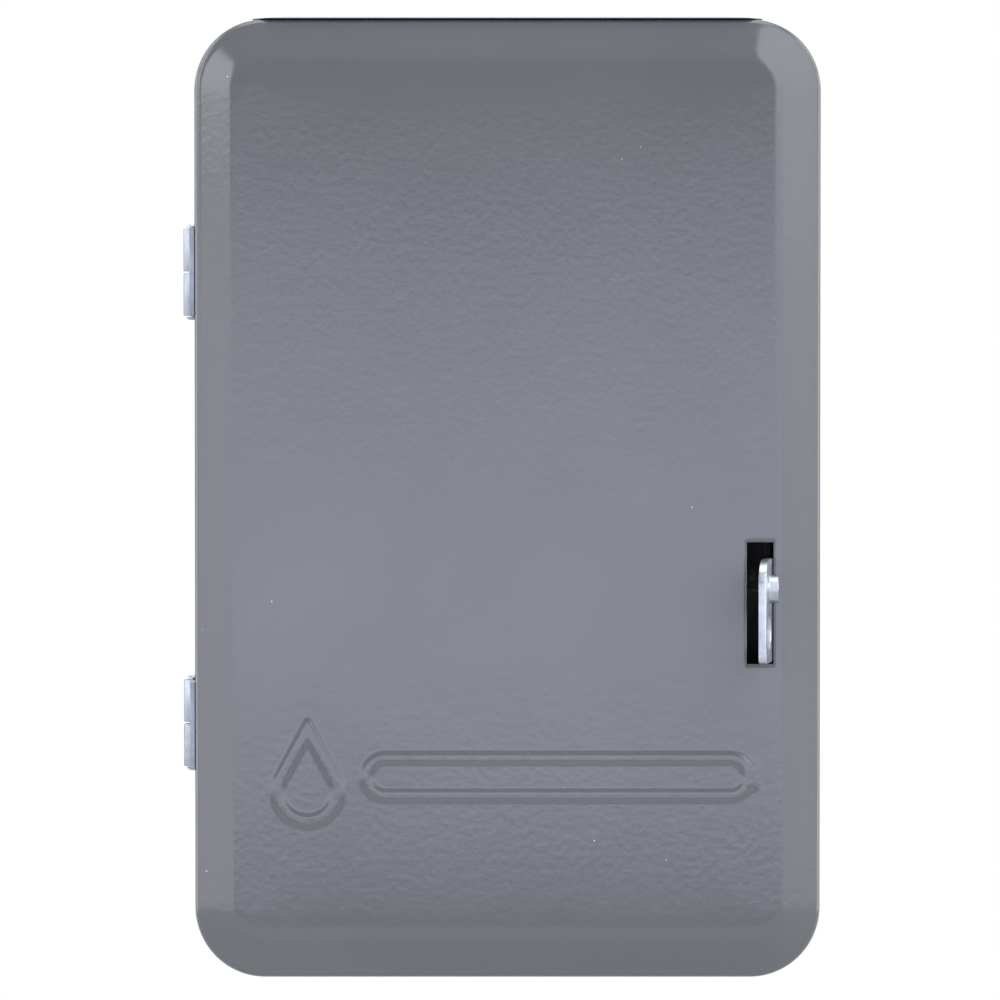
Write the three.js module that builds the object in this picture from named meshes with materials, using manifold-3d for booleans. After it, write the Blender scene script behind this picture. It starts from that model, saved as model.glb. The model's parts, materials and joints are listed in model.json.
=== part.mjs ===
// Irrigation time-switch controller in a wall-mounted drawn-steel case.
//
// Units are millimetres. +Z is up, the door faces -Y and the wall is behind the plane y = 0.
// The origin is the middle of the case's back face.

import * as THREE from 'three';
import { mergeVertices } from 'three/addons/utils/BufferGeometryUtils.js';
import Module from 'manifold-3d';

const wasm = await Module();
wasm.setup();

// ---------------------------------------------------------------- driving dimensions

const SHEET = 1.0;            // case and door steel
const GAP = 0.3;              // running gap between neighbouring pieces
const CURVE_STEPS = 4;        // half the facets on a rounded corner

const DOOR_WIDTH = 128.5;
const DOOR_HEIGHT = 196.9;
const DOOR_CORNER = 14.4;
const DOOR_FRONT = -76.2;     // flat raised panel of the door
const DOOR_SHOULDER = -73.2;  // where the sloping border starts
const DOOR_SKIRT_BACK = -63.0;
const DOOR_EDGE_RADIUS = 1.5;
const DOOR_BORDER = 6.8;      // width of the sloping border

const CASE_PLAY = 0.8;        // space between door skirt and case wall
const CASE_WIDTH = DOOR_WIDTH - 2 * (SHEET + CASE_PLAY);
const CASE_HEIGHT = DOOR_HEIGHT - 2 * (SHEET + CASE_PLAY);
const CASE_CORNER = DOOR_CORNER - SHEET - CASE_PLAY;
const CASE_FRONT = -71.0;
const CASE_BACK_RADIUS = 3.0;

const CASE_HALF = CASE_WIDTH / 2;
const CASE_TOP = CASE_HEIGHT / 2;

const HINGE_LENGTH = 18.0;
const HINGE_HEIGHTS = { upper: 46.7, lower: -46.7 };
const HINGE_AXIS = { x: -65.1, y: -60.7 };
const KNUCKLE_RADIUS = 2.15;
const KNUCKLE_BORE = 1.0;
const HINGE_PIN_RADIUS = 0.72;
const HINGE_PIN_HEAD = 1.4;
const LEAF = 0.8;             // thickness of the hinge leaves and the rain hood

const SLOT = { left: 49.0, right: 54.5, bottom: -33.7, top: -8.7 };

const HASP_THICKNESS = 1.6;
const HASP_BOTTOM = -33.2;
const HASP_TOP = -12.0;
const HASP_FRONT = -87.2;
const HASP_FRONT_X = 52.5;     // right face of the blade at its front edge
const HASP_SLOT_X = 54.2;      // right face of the blade where it passes the door
const HASP_WALL_X = 60.4;      // right face of the blade's base beside the case wall
const PADLOCK_HOLE_RADIUS = 3.95;
const PADLOCK_HOLE = { y: -81.7, z: -27.0 };
const HASP_RIVET_Y = -29.0;
const HASP_RIVET_HEIGHTS = [-18.0, -27.0];

const KNOCKOUT_RADIUS = 11.1;  // 1/2 inch conduit knockout, 22.2 mm across
const KNOCKOUT_Y = -32.0;
const KNOCKOUT_Z = -80.0;
const KNOCKOUT_X = 27.0;

const KEYHOLE_Z = 86.0;
const KEYHOLE_RADIUS = 4.5;
const KEYHOLE_SLOT = 2.4;      // half the width of the keyhole's narrow part
const BOSS_RADIUS = 4.2;
const THREAD_HOLE = 2.0;
const MOUNT_HOLE = { x: 48.0, z: -86.0, radius: 3.4 };
const GROUND_SCREW = { x: 46.0, z: -73.0 };

const CHASSIS_BACK = -20.0;
const CHASSIS_SHEET = 1.2;
const CHASSIS_FRONT = CHASSIS_BACK - CHASSIS_SHEET;
const CHASSIS_HALF_WIDTH = 50.0;
const CHASSIS_BOTTOM = -44.0;
const CHASSIS_TOP = 85.0;
const FOOT_BACK = -6.3;
const FOOT = { x: 55.0, z: 10.0 };

const FACE_BACK = -40.0;
const FACE_FRONT = -42.0;
const FACE = { left: -56.0, right: 54.0, bottom: -46.0, top: 87.5 };
const POSTS = {
  upper_left: [-48, 80], upper_right: [46, 80], lower_left: [-48, -39], lower_right: [46, -39],
};

const GEAR_MODULE = 1.0;
const DIAL_TEETH = 60;
const STAGE_SMALL_TEETH = 10;
const STAGE_LARGE_TEETH = 50;
const PINION_TEETH = 10;

const DIAL_CENTRE = { x: 0.0, z: 40.0 };
const DIAL_RADIUS = 45.0;
const DIAL_BACK = -48.0;
const DIAL_FRONT = -49.2;
const ARBOR_RADIUS = 2.5;
const STAGE_DIRECTION = THREE.MathUtils.degToRad(-115);
const MOTOR_DIRECTION = THREE.MathUtils.degToRad(-30);
const STAGE_CENTRE = along(DIAL_CENTRE, STAGE_DIRECTION, gearDistance(DIAL_TEETH, STAGE_SMALL_TEETH));
const MOTOR_CENTRE = along(STAGE_CENTRE, MOTOR_DIRECTION, gearDistance(STAGE_LARGE_TEETH, PINION_TEETH));

const SKIPPER_CENTRE = { x: 26.0, z: -20.0 };
const SKIPPER_DAYS = 14;
const SKIPPER_RADIUS = 17.0;

const LEVER_CENTRE = { x: -34.0, z: -26.0 };
const LEVER_HANDLE_ANGLE = 165;   // degrees from +X, towards +Z
const CONTACT_CENTRE = { x: -14.0, z: -35.0 };

const TERMINALS = 5;
const TERMINAL_PITCH = 16.5;
const TERMINAL_BLOCK = { left: -44.0, right: 44.0, bottom: -66.0, top: -49.0, back: -1.3, front: -26.0 };

const TRIPPER_ANGLES = { on: 62, off: 152 };   // degrees from +X, towards +Z
const TRIPPER_SCREW_RADIUS = 41.6;

// ---------------------------------------------------------------- materials

function material(colour, roughness, metalness) {
  return new THREE.MeshStandardMaterial({ color: colour, roughness, metalness });
}

const ENAMEL = { colour: 0x80828a, roughness: 0.35, metalness: 0.0 };
const ZINC = { colour: 0xb9bdc2, roughness: 0.4, metalness: 0.9 };
const BRASS = { colour: 0xb99a52, roughness: 0.4, metalness: 0.9 };
const BLACK_PLASTIC = { colour: 0x1b1b1c, roughness: 0.5, metalness: 0.0 };
const GREY_PLASTIC = { colour: 0x8e9092, roughness: 0.5, metalness: 0.0 };
const RED_PLASTIC = { colour: 0x9a2f25, roughness: 0.5, metalness: 0.0 };
const ALUMINIUM = { colour: 0xc9ccd0, roughness: 0.35, metalness: 0.8 };
const CARD = { colour: 0xe2ddc9, roughness: 0.8, metalness: 0.0 };
const GREEN = { colour: 0x2f6f45, roughness: 0.45, metalness: 0.4 };
const COPPER_TAPE = { colour: 0xb5762f, roughness: 0.5, metalness: 0.1 };
const WHITE_WIRE = { colour: 0xd8d8d2, roughness: 0.55, metalness: 0.0 };
const BLACK_WIRE = { colour: 0x26262a, roughness: 0.55, metalness: 0.0 };

// ---------------------------------------------------------------- geometry helpers

function along(centre, direction, distance) {
  return { x: centre.x + distance * Math.cos(direction), z: centre.z + distance * Math.sin(direction) };
}

function gearDistance(teethA, teethB) {
  return (GEAR_MODULE * (teethA + teethB)) / 2;
}

// A closed geometry becomes a solid once its shared corners are merged.
function solid(geometry) {
  const bare = geometry.clone();
  bare.deleteAttribute('normal');
  bare.deleteAttribute('uv');
  const merged = mergeVertices(bare, 1e-4);
  const vertProperties = new Float32Array(merged.attributes.position.array);
  const triVerts = new Uint32Array(merged.index.array);
  return new wasm.Manifold(new wasm.Mesh({ numProp: 3, vertProperties, triVerts }));
}

function geometryOf(body) {
  const result = body.getMesh();
  const geometry = new THREE.BufferGeometry();
  geometry.setAttribute('position', new THREE.BufferAttribute(new Float32Array(result.vertProperties), 3));
  geometry.setIndex(new THREE.BufferAttribute(new Uint32Array(result.triVerts), 1));
  geometry.computeVertexNormals();
  return geometry;
}

function join(...bodies) {
  return bodies.reduce((whole, body) => whole.add(body));
}

function cut(body, ...tools) {
  return tools.reduce((rest, tool) => rest.subtract(tool), body);
}

function box(x0, x1, y0, y1, z0, z1) {
  const geometry = new THREE.BoxGeometry(Math.abs(x1 - x0), Math.abs(y1 - y0), Math.abs(z1 - z0));
  geometry.translate((x0 + x1) / 2, (y0 + y1) / 2, (z0 + z1) / 2);
  return solid(geometry);
}

// Round bars along each axis.
function barY(centre, radius, y0, y1, sides = 16) {
  const geometry = new THREE.CylinderGeometry(radius, radius, Math.abs(y1 - y0), sides);
  geometry.translate(centre.x, (y0 + y1) / 2, centre.z);
  return solid(geometry);
}

function barX(centre, radius, x0, x1, sides = 16) {
  const geometry = new THREE.CylinderGeometry(radius, radius, Math.abs(x1 - x0), sides);
  geometry.rotateZ(Math.PI / 2);
  geometry.translate((x0 + x1) / 2, centre.y, centre.z);
  return solid(geometry);
}

function barZ(centre, radius, z0, z1, sides = 16) {
  const geometry = new THREE.CylinderGeometry(radius, radius, Math.abs(z1 - z0), sides);
  geometry.rotateX(Math.PI / 2);
  geometry.translate(centre.x, centre.y, (z0 + z1) / 2);
  return solid(geometry);
}

function polygon(points) {
  return new THREE.Shape(points.map(([a, b]) => new THREE.Vector2(a, b)));
}

function roundedRectangle(left, right, bottom, top, radius) {
  const shape = new THREE.Shape();
  shape.moveTo(left + radius, bottom);
  shape.lineTo(right - radius, bottom);
  shape.absarc(right - radius, bottom + radius, radius, -Math.PI / 2, 0, false);
  shape.lineTo(right, top - radius);
  shape.absarc(right - radius, top - radius, radius, 0, Math.PI / 2, false);
  shape.lineTo(left + radius, top);
  shape.absarc(left + radius, top - radius, radius, Math.PI / 2, Math.PI, false);
  shape.lineTo(left, bottom + radius);
  shape.absarc(left + radius, bottom + radius, radius, Math.PI, 1.5 * Math.PI, false);
  return shape;
}

function centredRectangle(width, height, radius) {
  return roundedRectangle(-width / 2, width / 2, -height / 2, height / 2, radius);
}

// A shape drawn in X and Z, running from yBack forwards to yFront.
function plateY(shape, yBack, yFront, bevel = null) {
  const depth = yBack - yFront;
  const options = { depth, bevelEnabled: false, curveSegments: CURVE_STEPS };
  if (bevel) {
    options.bevelEnabled = true;
    options.bevelThickness = bevel.rise;
    options.bevelSize = bevel.inset;
    options.bevelOffset = -bevel.inset;
    options.bevelSegments = bevel.steps;
    options.depth = depth - 2 * bevel.rise;
  }
  const geometry = new THREE.ExtrudeGeometry(shape, options);
  geometry.rotateX(Math.PI / 2);
  geometry.translate(0, bevel ? yBack - bevel.rise : yBack, 0);
  return solid(geometry);
}

// A shape drawn in Y and Z, running along X.
function plateX(shape, x0, x1) {
  const geometry = new THREE.ExtrudeGeometry(shape, {
    depth: x1 - x0, bevelEnabled: false, curveSegments: CURVE_STEPS,
  });
  const turn = new THREE.Matrix4().makeBasis(
    new THREE.Vector3(0, 1, 0), new THREE.Vector3(0, 0, 1), new THREE.Vector3(1, 0, 0));
  geometry.applyMatrix4(turn);
  geometry.translate(x0, 0, 0);
  return solid(geometry);
}

// A shape drawn in X and Y, running along Z.
function plateZ(shape, z0, z1) {
  const geometry = new THREE.ExtrudeGeometry(shape, {
    depth: z1 - z0, bevelEnabled: false, curveSegments: CURVE_STEPS,
  });
  geometry.translate(0, 0, z0);
  return solid(geometry);
}

function lead(points, radius, steps) {
  const curve = new THREE.CatmullRomCurve3(points.map((p) => new THREE.Vector3(...p)));
  const section = new THREE.Shape();
  section.absarc(0, 0, radius, 0, 2 * Math.PI, false);
  const geometry = new THREE.ExtrudeGeometry(section, {
    steps, extrudePath: curve, bevelEnabled: false, curveSegments: CURVE_STEPS,
  });
  return solid(geometry);
}

function polar(centre, radius, angle) {
  return [centre.x + radius * Math.cos(angle), centre.z + radius * Math.sin(angle)];
}

// Straight-flanked gear teeth, slim enough to leave backlash at every position of the train.
function gearShape(teeth, centre, phase) {
  const pitchRadius = (GEAR_MODULE * teeth) / 2;
  const tip = pitchRadius + 0.75 * GEAR_MODULE;
  const root = pitchRadius - 1.05 * GEAR_MODULE;
  const toothAngle = (2 * Math.PI) / teeth;
  const points = [];
  for (let tooth = 0; tooth < teeth; tooth += 1) {
    const middle = phase + tooth * toothAngle;
    points.push(polar(centre, root, middle - 0.26 * toothAngle));
    points.push(polar(centre, tip, middle - 0.09 * toothAngle));
    points.push(polar(centre, tip, middle + 0.09 * toothAngle));
    points.push(polar(centre, root, middle + 0.26 * toothAngle));
  }
  return polygon(points);
}

// ---------------------------------------------------------------- case

function knockoutTools(grow) {
  const radius = KNOCKOUT_RADIUS + grow;
  const reach = SHEET + 0.5;
  return {
    back: barY({ x: 0, z: KNOCKOUT_Z }, radius, 0.5, -reach, 24),
    left: barX({ y: KNOCKOUT_Y, z: KNOCKOUT_Z }, radius, -CASE_HALF - 0.5, -CASE_HALF + reach, 24),
    right: barX({ y: KNOCKOUT_Y, z: KNOCKOUT_Z }, radius, CASE_HALF - reach, CASE_HALF + 0.5, 24),
    bottom_left: barZ({ x: -KNOCKOUT_X, y: KNOCKOUT_Y }, radius, -CASE_TOP - 0.5, -CASE_TOP + reach, 24),
    bottom_right: barZ({ x: KNOCKOUT_X, y: KNOCKOUT_Y }, radius, -CASE_TOP - 0.5, -CASE_TOP + reach, 24),
  };
}

function pan(width, height, corner, yBack, yFront, edge) {
  const bevel = { rise: edge, inset: edge, steps: 2 };
  const outline = centredRectangle(width, height, corner);
  return plateY(outline, yBack, yFront - edge, bevel).subtract(
    box(-width, width, yFront, yFront - 2 * edge, -height, height));
}

function caseShell() {
  const outside = pan(CASE_WIDTH, CASE_HEIGHT, CASE_CORNER, 0, CASE_FRONT, CASE_BACK_RADIUS);
  const inside = pan(CASE_WIDTH - 2 * SHEET, CASE_HEIGHT - 2 * SHEET, CASE_CORNER - SHEET,
    -SHEET, CASE_FRONT - 1, CASE_BACK_RADIUS - SHEET);
  const bossFront = FOOT_BACK + GAP;
  const behind = 0.5;
  const inFront = -SHEET - 0.5;
  const bosses = [
    [{ x: -FOOT.x, z: FOOT.z }, bossFront],
    [{ x: FOOT.x, z: FOOT.z }, bossFront],
    [GROUND_SCREW, -5.0],
  ];
  let shell = outside.subtract(inside);
  for (const [centre, front] of bosses) {
    shell = shell.add(barY(centre, BOSS_RADIUS, -SHEET / 2, front));
  }
  for (const [centre, front] of bosses) {
    shell = shell.subtract(barY(centre, THREAD_HOLE, inFront, front - 0.5, 12));
  }
  return cut(shell,
    ...Object.values(knockoutTools(0)),
    barY({ x: 0, z: KEYHOLE_Z }, KEYHOLE_RADIUS, behind, inFront),
    box(-KEYHOLE_SLOT, KEYHOLE_SLOT, behind, inFront, KEYHOLE_Z, KEYHOLE_Z + 6.5),
    barY({ x: -MOUNT_HOLE.x, z: MOUNT_HOLE.z }, MOUNT_HOLE.radius, behind, inFront),
    barY({ x: MOUNT_HOLE.x, z: MOUNT_HOLE.z }, MOUNT_HOLE.radius, behind, inFront));
}

function knockoutSlugs() {
  const tools = knockoutTools(-GAP);
  const proud = 0.2;            // the side and bottom discs stand a little out of the case wall
  const limits = {
    back: box(-20, 20, -SHEET, 0, -100, 0),
    left: box(-CASE_HALF - proud, -CASE_HALF + SHEET, -60, 0, -100, 0),
    right: box(CASE_HALF - SHEET, CASE_HALF + proud, -60, 0, -100, 0),
    bottom_left: box(-60, 0, -60, 0, -CASE_TOP - proud, -CASE_TOP + SHEET),
    bottom_right: box(0, 60, -60, 0, -CASE_TOP - proud, -CASE_TOP + SHEET),
  };
  return Object.keys(tools).map((side) => [`knockout_${side}`, tools[side].intersect(limits[side])]);
}

function rainHood() {
  const base = CASE_TOP + 0.2;
  const lip = DOOR_HEIGHT / 2 + 0.25;
  const profile = polygon([
    [-44, base], [-44, base + LEAF], [-59.8, base + LEAF], [-59.8, lip + LEAF],
    [-73.5, lip + LEAF], [-73.5, lip], [-60.8, lip], [-60.8, base],
  ]);
  return plateX(profile, -52.5, 52.5);
}

function screw(centre, headRadius, headBack, headFront, shankRadius, tip) {
  return join(
    barY(centre, headRadius, headBack, headFront, 14),
    barY(centre, shankRadius, tip, headBack - 0.2, 10));
}

// ---------------------------------------------------------------- hinges

function knuckle(z0, z1) {
  return barZ(HINGE_AXIS, KNUCKLE_RADIUS, z0, z1, 14);
}

function hingeBore(height) {
  return barZ(HINGE_AXIS, KNUCKLE_BORE, height - HINGE_LENGTH, height + HINGE_LENGTH, 12);
}

function caseLeaf(height) {
  const right = -CASE_HALF - 0.2;
  const left = right - LEAF;
  const half = HINGE_LENGTH / 2;
  return cut(join(
    box(left, right, -45.0, -58.9, height - half, height + half),
    box(left, right, -58.5, HINGE_AXIS.y, height - half, height - 0.2),
    knuckle(height - half, height - 0.2)), hingeBore(height));
}

function doorLeaf(height) {
  const right = -DOOR_WIDTH / 2 - GAP;
  const left = right - LEAF;
  const half = HINGE_LENGTH / 2;
  return cut(join(
    box(left, right, -63.1, -71.5, height - half, height + half),
    box(left, right, -63.5, HINGE_AXIS.y, height + 0.2, height + half),
    knuckle(height + 0.2, height + half)), hingeBore(height));
}

function hingePin(height) {
  const end = HINGE_LENGTH / 2 + 0.3;
  return join(
    barZ(HINGE_AXIS, HINGE_PIN_RADIUS, height - end, height + end, 12),
    barZ(HINGE_AXIS, HINGE_PIN_HEAD, height + end - 0.05, height + end + 0.6, 12),
    barZ(HINGE_AXIS, HINGE_PIN_HEAD, height - end - 0.6, height - end + 0.05, 12));
}

// ---------------------------------------------------------------- door

// The pan is drawn in two steps: a skirt with a small edge radius, then a sloping border that
// rises to the flat panel. The inner form is the outer one moved in by the sheet's thickness.
function doorForm(shrink) {
  const width = DOOR_WIDTH - 2 * shrink;
  const height = DOOR_HEIGHT - 2 * shrink;
  const corner = DOOR_CORNER - shrink;
  const edge = DOOR_EDGE_RADIUS;
  const shoulder = DOOR_SHOULDER + shrink;
  const front = DOOR_FRONT + shrink;
  const skirt = plateY(centredRectangle(width, height, corner), DOOR_SKIRT_BACK + 2 * edge, shoulder,
    { rise: edge, inset: edge, steps: 3 });
  const raisedOutline = centredRectangle(width - 2 * edge, height - 2 * edge, corner - edge);
  const rise = shoulder - front;
  const raised = plateY(raisedOutline, shoulder + 2 * rise, front, { rise, inset: DOOR_BORDER, steps: 1 });
  return skirt.add(raised);
}

function doorPanel() {
  const wide = DOOR_WIDTH;
  const tall = DOOR_HEIGHT;
  const behind = box(-wide, wide, DOOR_SKIRT_BACK, 0, -tall, tall);
  const slot = box(SLOT.left, SLOT.right, DOOR_FRONT - 1, DOOR_FRONT + 6, SLOT.bottom, SLOT.top);
  return cut(doorForm(0), doorForm(SHEET), behind, slot);
}

function doorLabel() {
  const back = DOOR_FRONT + SHEET + 0.25;
  return plateY(roundedRectangle(-46, 40, 8, 82, 4), back + 0.4, back);
}

// ---------------------------------------------------------------- hasp

// The hasp's section in X and Y: a base beside the case wall, a jog inwards, and a blade that
// leans towards the hinge side as it comes forward through the door's slot.
function haspSection() {
  const right = [
    [HASP_WALL_X, -38.5], [HASP_WALL_X, -55.0], [HASP_SLOT_X + 1.5, -66.5],
    [HASP_SLOT_X, -76.2], [HASP_FRONT_X, HASP_FRONT],
  ];
  const left = right.map(([x, y]) => [x - HASP_THICKNESS, y]);
  return polygon([...right, ...left.reverse()]);
}

function haspBlade() {
  const strip = plateZ(haspSection(), HASP_BOTTOM, HASP_TOP);
  const outline = new THREE.Shape();
  const topCorner = 5.0;
  const bottomCorner = 1.5;
  outline.moveTo(-38, HASP_BOTTOM);
  outline.lineTo(-38, HASP_TOP);
  outline.lineTo(HASP_FRONT + topCorner, HASP_TOP);
  outline.absarc(HASP_FRONT + topCorner, HASP_TOP - topCorner, topCorner, Math.PI / 2, Math.PI, false);
  outline.lineTo(HASP_FRONT, HASP_BOTTOM + bottomCorner);
  outline.absarc(HASP_FRONT + bottomCorner, HASP_BOTTOM + bottomCorner, bottomCorner,
    Math.PI, 1.5 * Math.PI, false);
  const blade = strip.intersect(plateX(outline, 40, 64));
  const hole = barX(PADLOCK_HOLE, PADLOCK_HOLE_RADIUS, 46, 60, 20);
  const button = barX({ y: -80.1, z: -18.1 }, 2.9, 52.6, 55.2, 16);
  return cut(join(blade, button), hole);
}

function haspSpring() {
  const right = CASE_HALF - SHEET - 0.2;
  const left = right - 0.5;
  const spring = box(left, right, -24, -54, HASP_BOTTOM + 2, HASP_TOP - 2);
  const holes = HASP_RIVET_HEIGHTS.map((z) => barX({ y: HASP_RIVET_Y, z }, 1.8, left - 1, right + 1, 12));
  return cut(spring, ...holes);
}

function haspRivet(z) {
  const inner = CASE_HALF - SHEET - 0.2 - 0.5;
  return join(
    barX({ y: HASP_RIVET_Y, z }, 3.0, inner - 1.4, inner - 0.2, 14),
    barX({ y: HASP_RIVET_Y, z }, 1.4, inner - 0.3, inner + 0.65, 12));
}

// ---------------------------------------------------------------- mechanism frame

function chassis() {
  const half = CHASSIS_HALF_WIDTH;
  const outline = roundedRectangle(-half, half, CHASSIS_BOTTOM, CHASSIS_TOP, 3);
  const plate = plateY(outline, CHASSIS_BACK, CHASSIS_FRONT);
  const footFront = FOOT_BACK - CHASSIS_SHEET;
  const parts = [plate];
  for (const side of [-1, 1]) {
    const inner = side * (half - CHASSIS_SHEET);
    const outer = side * half;
    parts.push(box(inner, outer, CHASSIS_BACK - 0.5, FOOT_BACK, FOOT.z - 24, FOOT.z + 34));
    parts.push(box(inner, side * 59.3, footFront, FOOT_BACK, FOOT.z - 10, FOOT.z + 10));
  }
  for (const [x, z] of Object.values(POSTS)) {
    parts.push(barY({ x, z }, 3.2, CHASSIS_FRONT + 0.5, FACE_BACK + GAP, 14));
  }
  const holes = [
    barY(DIAL_CENTRE, ARBOR_RADIUS + 0.3, 0, CHASSIS_FRONT - 1),
    barY(STAGE_CENTRE, 1.8, 0, CHASSIS_FRONT - 1, 12),
    barY(MOTOR_CENTRE, 2.0, 0, CHASSIS_FRONT - 1, 12),
    barY(SKIPPER_CENTRE, 2.5, 0, CHASSIS_FRONT - 1),
    barY(LEVER_CENTRE, 2.8, 0, CHASSIS_FRONT - 1),
    barY(CONTACT_CENTRE, 1.8, 0, CHASSIS_FRONT - 1, 12),
    barY({ x: -FOOT.x, z: FOOT.z }, 2.0, 0, footFront - 1, 12),
    barY({ x: FOOT.x, z: FOOT.z }, 2.0, 0, footFront - 1, 12),
  ];
  for (const [x, z] of Object.values(POSTS)) {
    holes.push(barY({ x, z }, 1.9, FACE_BACK + 9, FACE_BACK - 1, 12));
  }
  return cut(join(...parts), ...holes);
}

function faceplate() {
  const outline = roundedRectangle(FACE.left, FACE.right, FACE.bottom, FACE.top, 5);
  const plate = plateY(outline, FACE_BACK, FACE_FRONT);
  const front = FACE_FRONT - 1;
  const back = FACE_BACK + 1;
  const holes = [
    barY(DIAL_CENTRE, 5.0, back, front, 20),
    barY(SKIPPER_CENTRE, 2.6, back, front),
    barY(LEVER_CENTRE, 3.2, back, front),
  ];
  for (const [x, z] of Object.values(POSTS)) {
    holes.push(barY({ x, z }, 1.9, back, front, 12));
  }
  return cut(plate, ...holes);
}

// ---------------------------------------------------------------- drive

function motorBody() {
  const housing = join(
    barY(MOTOR_CENTRE, 24.0, -6.0, -19.7, 32),
    barY(MOTOR_CENTRE, 20.0, -3.5, -6.2, 32));
  return cut(housing, barY(MOTOR_CENTRE, 1.6, -14.0, -20.0, 12));
}

function motorCoil() {
  const left = MOTOR_CENTRE.x - 24.0 - GAP - 22.0;
  return plateY(roundedRectangle(left, left + 21.5, MOTOR_CENTRE.z - 11, MOTOR_CENTRE.z + 9, 3), -5.0, -19.5);
}

function motorPinion() {
  const teeth = plateY(
    gearShape(PINION_TEETH, MOTOR_CENTRE, MOTOR_DIRECTION + Math.PI + Math.PI / PINION_TEETH), -26.7, -30.2);
  return join(teeth, barY(MOTOR_CENTRE, 1.2, -15.0, -30.6, 12));
}

function stageGear() {
  const small = plateY(
    gearShape(STAGE_SMALL_TEETH, STAGE_CENTRE, STAGE_DIRECTION + Math.PI + Math.PI / STAGE_SMALL_TEETH),
    -22.3, -27.4);
  const large = plateY(gearShape(STAGE_LARGE_TEETH, STAGE_CENTRE, MOTOR_DIRECTION), -27.2, -29.7);
  const hub = barY(STAGE_CENTRE, 4.0, -29.5, -32.0);
  return cut(join(small, large, hub), barY(STAGE_CENTRE, 1.8, -20, -34, 12));
}

function stageStud() {
  return join(barY(STAGE_CENTRE, 1.45, -17.5, -33.0, 12), barY(STAGE_CENTRE, 3.0, -32.4, -33.6, 12));
}

function dialGear() {
  const teeth = plateY(gearShape(DIAL_TEETH, DIAL_CENTRE, STAGE_DIRECTION), -23.2, -26.0);
  return join(teeth, barY(DIAL_CENTRE, 8.0, -25.8, -32.0, 20), barY(DIAL_CENTRE, ARBOR_RADIUS, -16.0, -56.0));
}

// ---------------------------------------------------------------- dial

function dialPlate() {
  const disc = join(
    barY(DIAL_CENTRE, DIAL_RADIUS, DIAL_BACK, DIAL_FRONT, 60),
    barY(DIAL_CENTRE, 8.0, -44.5, DIAL_BACK - 0.2, 20));
  return cut(disc, barY(DIAL_CENTRE, ARBOR_RADIUS + GAP, -40, -52));
}

function dialKnob() {
  const knob = join(
    barY(DIAL_CENTRE, 13.5, DIAL_FRONT - GAP, -55.0, 24),
    barY(DIAL_CENTRE, 10.5, -54.8, -58.5, 24));
  return cut(knob, barY(DIAL_CENTRE, ARBOR_RADIUS + GAP, -49, -56.6));
}

function timePointer() {
  const bottom = DIAL_CENTRE.z - DIAL_RADIUS;
  const tip = bottom - 2.4;
  const arrow = polygon([[-4.2, tip - 7], [4.2, tip - 7], [4.2, tip - 3.5], [0, tip], [-4.2, tip - 3.5]]);
  return join(
    plateY(arrow, -48.0, -49.2),
    box(-4.2, 4.2, FACE_FRONT - GAP, -49.2, tip - 8.2, tip - 7.0));
}

// A clip around the dial's rim, drawn at angle zero, then turned to its place.
function tripper(angle) {
  const inner = 38.0;
  const rim = DIAL_RADIUS + GAP;
  const outer = rim + 1.2;
  const half = 3.6;
  const clip = join(
    box(inner, outer, DIAL_FRONT - GAP, -51.0, -half, half),
    box(inner + 3.0, outer, DIAL_BACK + GAP, -46.2, -half, half),
    box(rim, outer, -46.2, -51.0, -half, half));
  const hole = barY({ x: TRIPPER_SCREW_RADIUS, z: 0 }, 1.4, -49.3, -51.5, 10);
  return place(cut(clip, hole), angle);
}

function tripperScrew(angle) {
  const centre = { x: TRIPPER_SCREW_RADIUS, z: 0 };
  return place(join(
    barY(centre, 2.9, -51.3, -55.5, 12),
    barY(centre, 1.0, -49.6, -51.6, 10)), angle);
}

// Angles run from +X towards +Z, which is a turn about -Y.
function place(body, angle) {
  return body.rotate([0, -angle, 0]).translate([DIAL_CENTRE.x, 0, DIAL_CENTRE.z]);
}

// ---------------------------------------------------------------- skipper, lever and switch

function skipperWheel() {
  const points = [];
  const step = (2 * Math.PI) / SKIPPER_DAYS;
  for (let day = 0; day < SKIPPER_DAYS; day += 1) {
    const angle = day * step;
    points.push(polar(SKIPPER_CENTRE, SKIPPER_RADIUS, angle - 0.32 * step));
    points.push(polar(SKIPPER_CENTRE, SKIPPER_RADIUS, angle + 0.32 * step));
    points.push(polar(SKIPPER_CENTRE, SKIPPER_RADIUS - 2.4, angle + 0.5 * step));
  }
  const pins = [];
  for (let day = 0; day < SKIPPER_DAYS; day += 1) {
    const centre = along(SKIPPER_CENTRE, day * step, SKIPPER_RADIUS - 4.2);
    pins.push(barY(centre, 0.8, -46.3, -48.8, 6));
  }
  const wheel = plateY(polygon(points), -45.0, -46.5);
  return cut(join(wheel, ...pins), barY(SKIPPER_CENTRE, 2.5, -44, -48));
}

function skipperHub() {
  return join(barY(SKIPPER_CENTRE, 2.2, -20.2, -47.5), barY(SKIPPER_CENTRE, 6.0, -46.8, -50.5, 20));
}

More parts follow.
